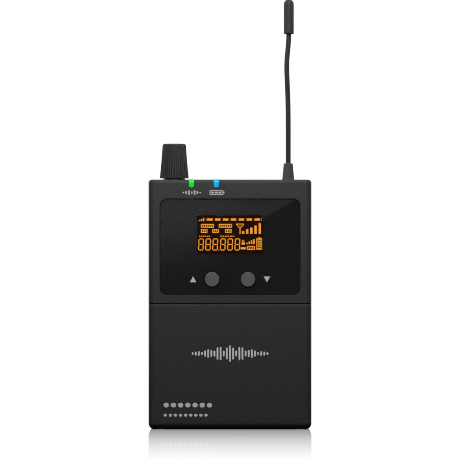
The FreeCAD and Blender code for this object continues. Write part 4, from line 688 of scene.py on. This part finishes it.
def battery_icon(sheet, left, right, low, high):
    """Upright battery sign with five charge bars."""
    stroke = 0.22
    cap = 0.35
    sheet.frame(left, right, low, high - cap, stroke)
    inset = (right - left) * 0.3
    sheet.bar(left + inset, right - inset, high - cap, high)
    room = high - cap - low - 2 * stroke
    step = room / 5
    for number in range(5):
        foot = low + stroke + step * number + step * 0.22
        sheet.bar(left + stroke + 0.16, right - stroke - 0.16, foot, foot + step * 0.52)


# ---------------------------------------------------------------- printed marks

def arrow_marks():
    """Triangles printed beside the buttons: up on the left, down on the right."""
    sheet = Sheet(lens_low.y - 0.015 * MM, lens_low.y)
    half = 1.28
    rise = 1.12
    height = 59.0
    sheet.shape([(-14.5 - half, height - rise), (-14.5 + half, height - rise), (-14.5, height + rise)])
    sheet.shape([(14.5 - half, height + rise), (14.5, height - rise), (14.5 + half, height + rise)])
    return sheet.piece("arrow_marks", ink("arrow_ink", 0.52), "casing")


def light_marks():
    """Signs under the two lights: a sound level and a battery."""
    sheet = Sheet(FACE_Y - 0.015 * MM, FACE_Y)
    low, high = 92.2, 94.0
    middle = (low + high) / 2
    rises = (0.3, 0.62, 0.9, 0.5, 0.9, 0.62, 0.3)
    step = 6.6 / (len(rises) - 1)
    for number, rise in enumerate(rises):
        x = -15.0 - 3.3 + step * number
        sheet.pill(x - 0.31, x + 0.31, middle - rise, middle + rise)
    left, right = -8.0, -2.7
    sheet.frame(left, right, low, high, 0.3)
    sheet.bar(right, right + 0.5, middle - 0.4, middle + 0.4)
    for number in range(3):
        start = left + 0.6 + number * 1.45
        sheet.bar(start, start + 1.1, low + 0.55, high - 0.55)
    return sheet.piece("light_marks", ink("mark_ink", 0.40), "casing")


def door_emblem():
    """Generic sound wave of rounded bars in the middle of the door."""
    sheet = Sheet(door_low.y - 0.02 * MM, door_low.y)
    middle = 29.9
    count = 25
    for number in range(count):
        x = -14.7 + 29.4 * number / (count - 1)
        swell = math.exp(-(x / 9.5) ** 2)
        rise = 0.45 + 2.75 * swell * abs(math.cos(x * 0.72)) ** 0.8
        sheet.pill(x - 0.33, x + 0.33, middle - rise, middle + rise)
    return sheet.piece("door_emblem", ink("emblem_ink", 0.66), "battery_door")


def door_print():
    """Two plain rows of equal rounded bars at the door's lower left."""
    sheet = Sheet(door_low.y - 0.02 * MM, door_low.y)
    for count, width, pitch, low, high in ((7, 2.1, 2.83, 8.75, 10.55), (9, 1.35, 2.0, 5.15, 6.25)):
        for number in range(count):
            left = -26.1 + number * pitch
            sheet.pill(left, left + width, low, high)
    return sheet.piece("door_print", ink("print_ink", 0.62), "battery_door")


# ---------------------------------------------------------------- springs

WIRE = 0.25 * MM
COIL_TURNS = 4
STEPS_PER_TURN = 24
STEPS_ROUND_WIRE = 10


def latch_spring(side, finish):
    """Coil behind one latch, in place of its CAD solid."""
    body = "left_latch" if side < 0 else "right_latch"
    low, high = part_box(body + "_spring")
    fixed, moving = (high.x, low.x) if side < 0 else (low.x, high.x)
    centre_y = (low.y + high.y) / 2
    centre_z = (low.z + high.z) / 2
    radius = (high.z - low.z) / 2 - WIRE
    start = fixed + (WIRE if side > 0 else -WIRE)
    end = moving + (-WIRE if side > 0 else WIRE)
    mesh = bmesh.new()
    rings = []
    total = COIL_TURNS * STEPS_PER_TURN
    for step in range(total + 1):
        turn = math.tau * step / STEPS_PER_TURN
        x = start + (end - start) * step / total
        out_y, out_z = math.cos(turn), math.sin(turn)
        ring = []
        for part in range(STEPS_ROUND_WIRE):
            angle = math.tau * part / STEPS_ROUND_WIRE
            away = radius + WIRE * math.cos(angle)
            point = (x + WIRE * math.sin(angle), centre_y + away * out_y, centre_z + away * out_z)
            ring.append(mesh.verts.new(point))
        rings.append(ring)
    for first, second in zip(rings, rings[1:]):
        for part in range(STEPS_ROUND_WIRE):
            after = (part + 1) % STEPS_ROUND_WIRE
            mesh.faces.new((first[part], first[after], second[after], second[part])).smooth = True
    mesh.faces.new(rings[0][::-1])
    mesh.faces.new(rings[-1])
    bmesh.ops.recalc_face_normals(mesh, faces=mesh.faces)
    data = bpy.data.meshes.new(body + "_spring_coil")
    mesh.to_mesh(data)
    mesh.free()
    data.materials.append(finish)
    coil = bpy.data.objects.new(body + "_spring_coil", data)
    bpy.context.scene.collection.objects.link(coil)
    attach(coil, "casing")
    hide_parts(body + "_spring")
    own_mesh(coil)
    return coil


# ---------------------------------------------------------------- studio

# Share of the mirror image in the floor, by distance from the casing in millimetres.
MIRROR_SHARES = [
    (0, 0.75), (8, 0.645), (40, 0.52), (69, 0.395), (109, 0.245), (147, 0.13), (177, 0.06), (197, 0.0),
]
# Layer Weight facing from which the floor starts to mirror, and where it mirrors fully.
LOW_VIEW = (0.72, 0.93)
FLOOR_HALF = 6.0
RING_RADIUS = 5.0
RING_HEIGHT = 1.6
RING_SIDES = 48

# Card behind the camera: distance, half size, depth below the camera, and its glow low and high.
CARD_AWAY = 2500 * MM
CARD_HALF = 0.7
CARD_BELOW = 0.09
CARD_LOW = 0.21
CARD_TOP = 0.442
# The bright part's slanted edge: its rise over its run, and one point of it as seen in the window.
EDGE_SLOPE = 0.547
EDGE_X = 21.45 * MM
EDGE_Z = 87.65 * MM

# World glow on the object, level and overhead.
DIM_STUDIO = 0.03
OVERHEAD = 0.22

# Lamps: name, place, height aimed at, size, watts, kind of ray that misses them, nodes left unlit.
LAMPS = [
    ("key", (0.0, -0.13, 0.27), 0.06, (0.14, 0.10), 0.86, "glossy", ("window_lens",)),
    ("edge_strip", (0.0, -0.75, 0.225), 0.09, (0.8, 0.03), 0.45, "diffuse", ("window_lens", "rear_shell")),
    ("left_side", (-0.55, 0.22, 0.22), 0.06, (0.3, 0.5), 0.42, None, ("window_lens",)),
    ("right_side", (0.55, 0.22, 0.22), 0.06, (0.3, 0.5), 0.42, None, ("window_lens",)),
    ("back", (0.0, 0.6, 0.3), 0.06, (0.5, 0.4), 3.0, "glossy", ("window_lens",)),
]


def stage_nodes(name):
    """Nodes of a new, empty material of the studio."""
    material = bpy.data.materials.new(name)
    material.use_nodes = True
    material.node_tree.nodes.clear()
    return Nodes(material)


def shown(net, shader):
    """Material of an emptied node tree whose surface is this shader."""
    out = net.add("ShaderNodeOutputMaterial")
    net.link(shader, out.inputs["Surface"])
    return net.owner


def stage_sheet(name, points, faces, material):
    """Flat or ring-shaped sheet of the studio."""
    data = bpy.data.meshes.new(name)
    data.from_pydata(points, [], faces)
    data.materials.append(material)
    item = bpy.data.objects.new(name, data)
    bpy.context.scene.collection.objects.link(item)
    return item


def floor_material():
    """White floor that mirrors what stands on it, less and less further away."""
    net = stage_nodes("floor_white")
    parts = net.coordinates()
    squares = []
    for axis, half in (("X", HALF_WIDTH), ("Y", HALF_DEPTH)):
        beyond = net.maths("SUBTRACT", net.maths("ABSOLUTE", parts[axis]), half)
        squares.append(net.maths("POWER", net.maths("MAXIMUM", beyond, 0.0), 2.0))
    away = net.maths("SQRT", net.maths("ADD", squares[0], squares[1]))
    reach = MIRROR_SHARES[-1][0]
    ramp = net.add("ShaderNodeValToRGB")
    net.link(net.maths("DIVIDE", away, reach * MM), ramp.inputs[0])
    stops = ramp.color_ramp.elements
    while len(stops) < len(MIRROR_SHARES):
        stops.new(0.5)
    for stop, (distance, share) in zip(stops, MIRROR_SHARES):
        stop.position = distance / reach
        stop.color = grey(share)
    facing = net.add("ShaderNodeLayerWeight")
    facing.inputs["Blend"].default_value = 0.5
    low_view = net.spread(facing.outputs["Facing"], *LOW_VIEW)
    share = net.maths("MULTIPLY", ramp.outputs["Color"], low_view)
    white = net.add("ShaderNodeEmission")
    mirror = net.add("ShaderNodeBsdfGlossy")
    mirror.inputs["Color"].default_value = grey(1.0)
    mirror.inputs["Roughness"].default_value = 0.03
    seen = net.between(share, white.outputs[0], mirror.outputs[0])
    dull = net.add("ShaderNodeBsdfDiffuse")
    dull.inputs["Color"].default_value = grey(0.04)
    above = net.between(net.ray("Is Camera Ray"), dull.outputs[0], seen)
    clear = net.add("ShaderNodeBsdfTransparent")
    side = net.add("ShaderNodeNewGeometry")
    return shown(net, net.between(side.outputs["Backfacing"], above, clear.outputs[0]))


def make_floor():
    half = FLOOR_HALF
    points = [(-half, -half, 0), (half, -half, 0), (half, half, 0), (-half, half, 0)]
    return stage_sheet("floor", points, [(0, 1, 2, 3)], floor_material())


def make_surround(floor):
    """White ring far out that only the floor mirrors, so that the floor is white from every side."""
    net = stage_nodes("surround_white")
    material = shown(net, net.add("ShaderNodeEmission").outputs[0])
    material.cycles.emission_sampling = "NONE"
    points = []
    faces = []
    for number in range(RING_SIDES):
        angle = math.tau * number / RING_SIDES
        for z in (0.0, RING_HEIGHT):
            points.append((RING_RADIUS * math.cos(angle), RING_RADIUS * math.sin(angle), z))
        here = 2 * number
        there = 2 * ((number + 1) % RING_SIDES)
        faces.append((here, there, there + 1, here + 1))
    ring = stage_sheet("surround", points, faces, material)
    ring.visible_diffuse = False
    ring.visible_transmission = False
    ring.visible_shadow = False
    only = bpy.data.collections.new("floor_only")
    only.objects.link(floor)
    ring.light_linking.receiver_collection = only
    return ring


def make_reflector():
    """Grey card behind the camera. The window mirrors its slanted lower edge and its fade."""
    net = stage_nodes("reflector_grey")
    lens_y = lens_low.y
    eye = CAMERA_AHEAD + FACE_Y - lens_y
    widening = (eye + CARD_AWAY) / eye
    parts = net.coordinates()
    across = net.maths("DIVIDE", parts["X"], widening)
    rise = net.maths("DIVIDE", net.maths("SUBTRACT", parts["Z"], CAMERA_HEIGHT), widening)
    height = net.maths("ADD", rise, CAMERA_HEIGHT)
    edge = net.maths("SUBTRACT", height, net.maths("MULTIPLY", across, EDGE_SLOPE))
    softness = net.spread(across, -10 * MM, 13 * MM, 36 * MM, 0.3 * MM, smooth=True)
    above = net.maths("DIVIDE", net.maths("SUBTRACT", edge, EDGE_Z - EDGE_X * EDGE_SLOPE), softness)
    lit = net.spread(above, -0.5, 0.5, smooth=True)
    fade_up = net.spread(height, 48 * MM, 90 * MM, smooth=True)
    fade_across = net.spread(across, -10 * MM, 16 * MM, 1.0, 0.62, smooth=True)
    fade = net.maths("MULTIPLY", fade_up, fade_across)
    middle = (DISPLAY_TOP + DISPLAY_BOTTOM) / 2 * MM
    half_height = (DISPLAY_TOP - DISPLAY_BOTTOM) / 2 * MM
    beside = net.maths("GREATER_THAN", net.maths("ABSOLUTE", across), DISPLAY_HALF * MM)
    off_level = net.maths("ABSOLUTE", net.maths("SUBTRACT", height, middle))
    clear_of_display = net.maths("MAXIMUM", beside, net.maths("GREATER_THAN", off_level, half_height))
    bright = net.maths("MULTIPLY", net.maths("MULTIPLY", lit, fade), CARD_TOP)
    level = net.maths("MULTIPLY", net.maths("ADD", bright, CARD_LOW), clear_of_display)
    glow = net.add("ShaderNodeEmission")
    net.link(level, glow.inputs["Strength"])
    y = lens_y - CARD_AWAY
    half = CARD_HALF
    low, high = CAMERA_HEIGHT - CARD_BELOW, CAMERA_HEIGHT + CARD_HALF
    points = [(-half, y, low), (-half, y, high), (half, y, high), (half, y, low)]
    card = stage_sheet("reflector", points, [(0, 1, 2, 3)], shown(net, glow.outputs[0]))
    card.visible_camera = False
    card.visible_diffuse = False
    card.visible_shadow = False
    return card


def all_but(names):
    """Receivers of a lamp: everything except these nodes."""
    found = bpy.data.collections.new("all_but_" + "_".join(names))
    for name in names:
        found.objects.link(nodes[name])
    for entry in found.collection_objects:
        entry.light_linking.link_state = "EXCLUDE"
    return found


def make_lights():
    """Soft rectangular lamps that the camera doesn't see. None of them shines on the window."""
    for name, place, aim_height, size, watts, missed, unlit in LAMPS:
        data = bpy.data.lights.new(name, "AREA")
        data.shape = "RECTANGLE"
        data.size = size[0]
        data.size_y = size[1]
        data.energy = watts
        item = bpy.data.objects.new(name, data)
        bpy.context.scene.collection.objects.link(item)
        item.location = place
        toward = Vector((0.0, 0.0, aim_height)) - Vector(place)
        item.rotation_euler = toward.to_track_quat("-Z", "Y").to_euler()
        item.visible_camera = False
        item.visible_glossy = missed != "glossy"
        item.visible_diffuse = missed != "diffuse"
        item.light_linking.receiver_collection = all_but(unlit)


def make_world():
    """White to the camera; a dim studio, brighter overhead, to everything else."""
    world = bpy.data.worlds.new("studio")
    bpy.context.scene.world = world
    world.use_nodes = True
    world.node_tree.nodes.clear()
    net = Nodes(world)
    rise = net.spread(net.coordinates("Generated")["Z"], 0.0, 0.9, DIM_STUDIO, OVERHEAD)
    dim = net.add("ShaderNodeBackground")
    net.link(rise, dim.inputs["Strength"])
    white = net.add("ShaderNodeBackground")
    white.inputs["Color"].default_value = grey(1.0)
    out = net.add("ShaderNodeOutputWorld")
    seen = net.between(net.ray("Is Camera Ray"), dim.outputs[0], white.outputs[0])
    net.link(seen, out.inputs["Surface"])


def make_camera():
    data = bpy.data.cameras.new("camera")
    data.lens = LENS_LENGTH
    data.sensor_width = SENSOR_WIDTH
    data.clip_start = 0.05
    data.clip_end = 50.0
    item = bpy.data.objects.new("camera", data)
    bpy.context.scene.collection.objects.link(item)
    item.location = (0.0, FACE_Y - CAMERA_AHEAD, CAMERA_HEIGHT)
    item.rotation_euler = (math.radians(90), 0.0, 0.0)
    bpy.context.scene.camera = item


make_camera()
finishes = paint_nodes()
for side in (-1, 1):
    latch_spring(side, finishes["bright_steel"])
display_segments()
arrow_marks()
light_marks()
door_emblem()
door_print()
make_surround(make_floor())
make_reflector()
make_lights()
make_world()
bpy.context.scene.view_settings.view_transform = "Standard"
bpy.context.scene.cycles.filter_width = 1.0
bpy.context.scene.cycles.sample_clamp_indirect = 2.0
bpy.context.scene.cycles.caustics_reflective = False
bpy.context.scene.cycles.caustics_refractive = False
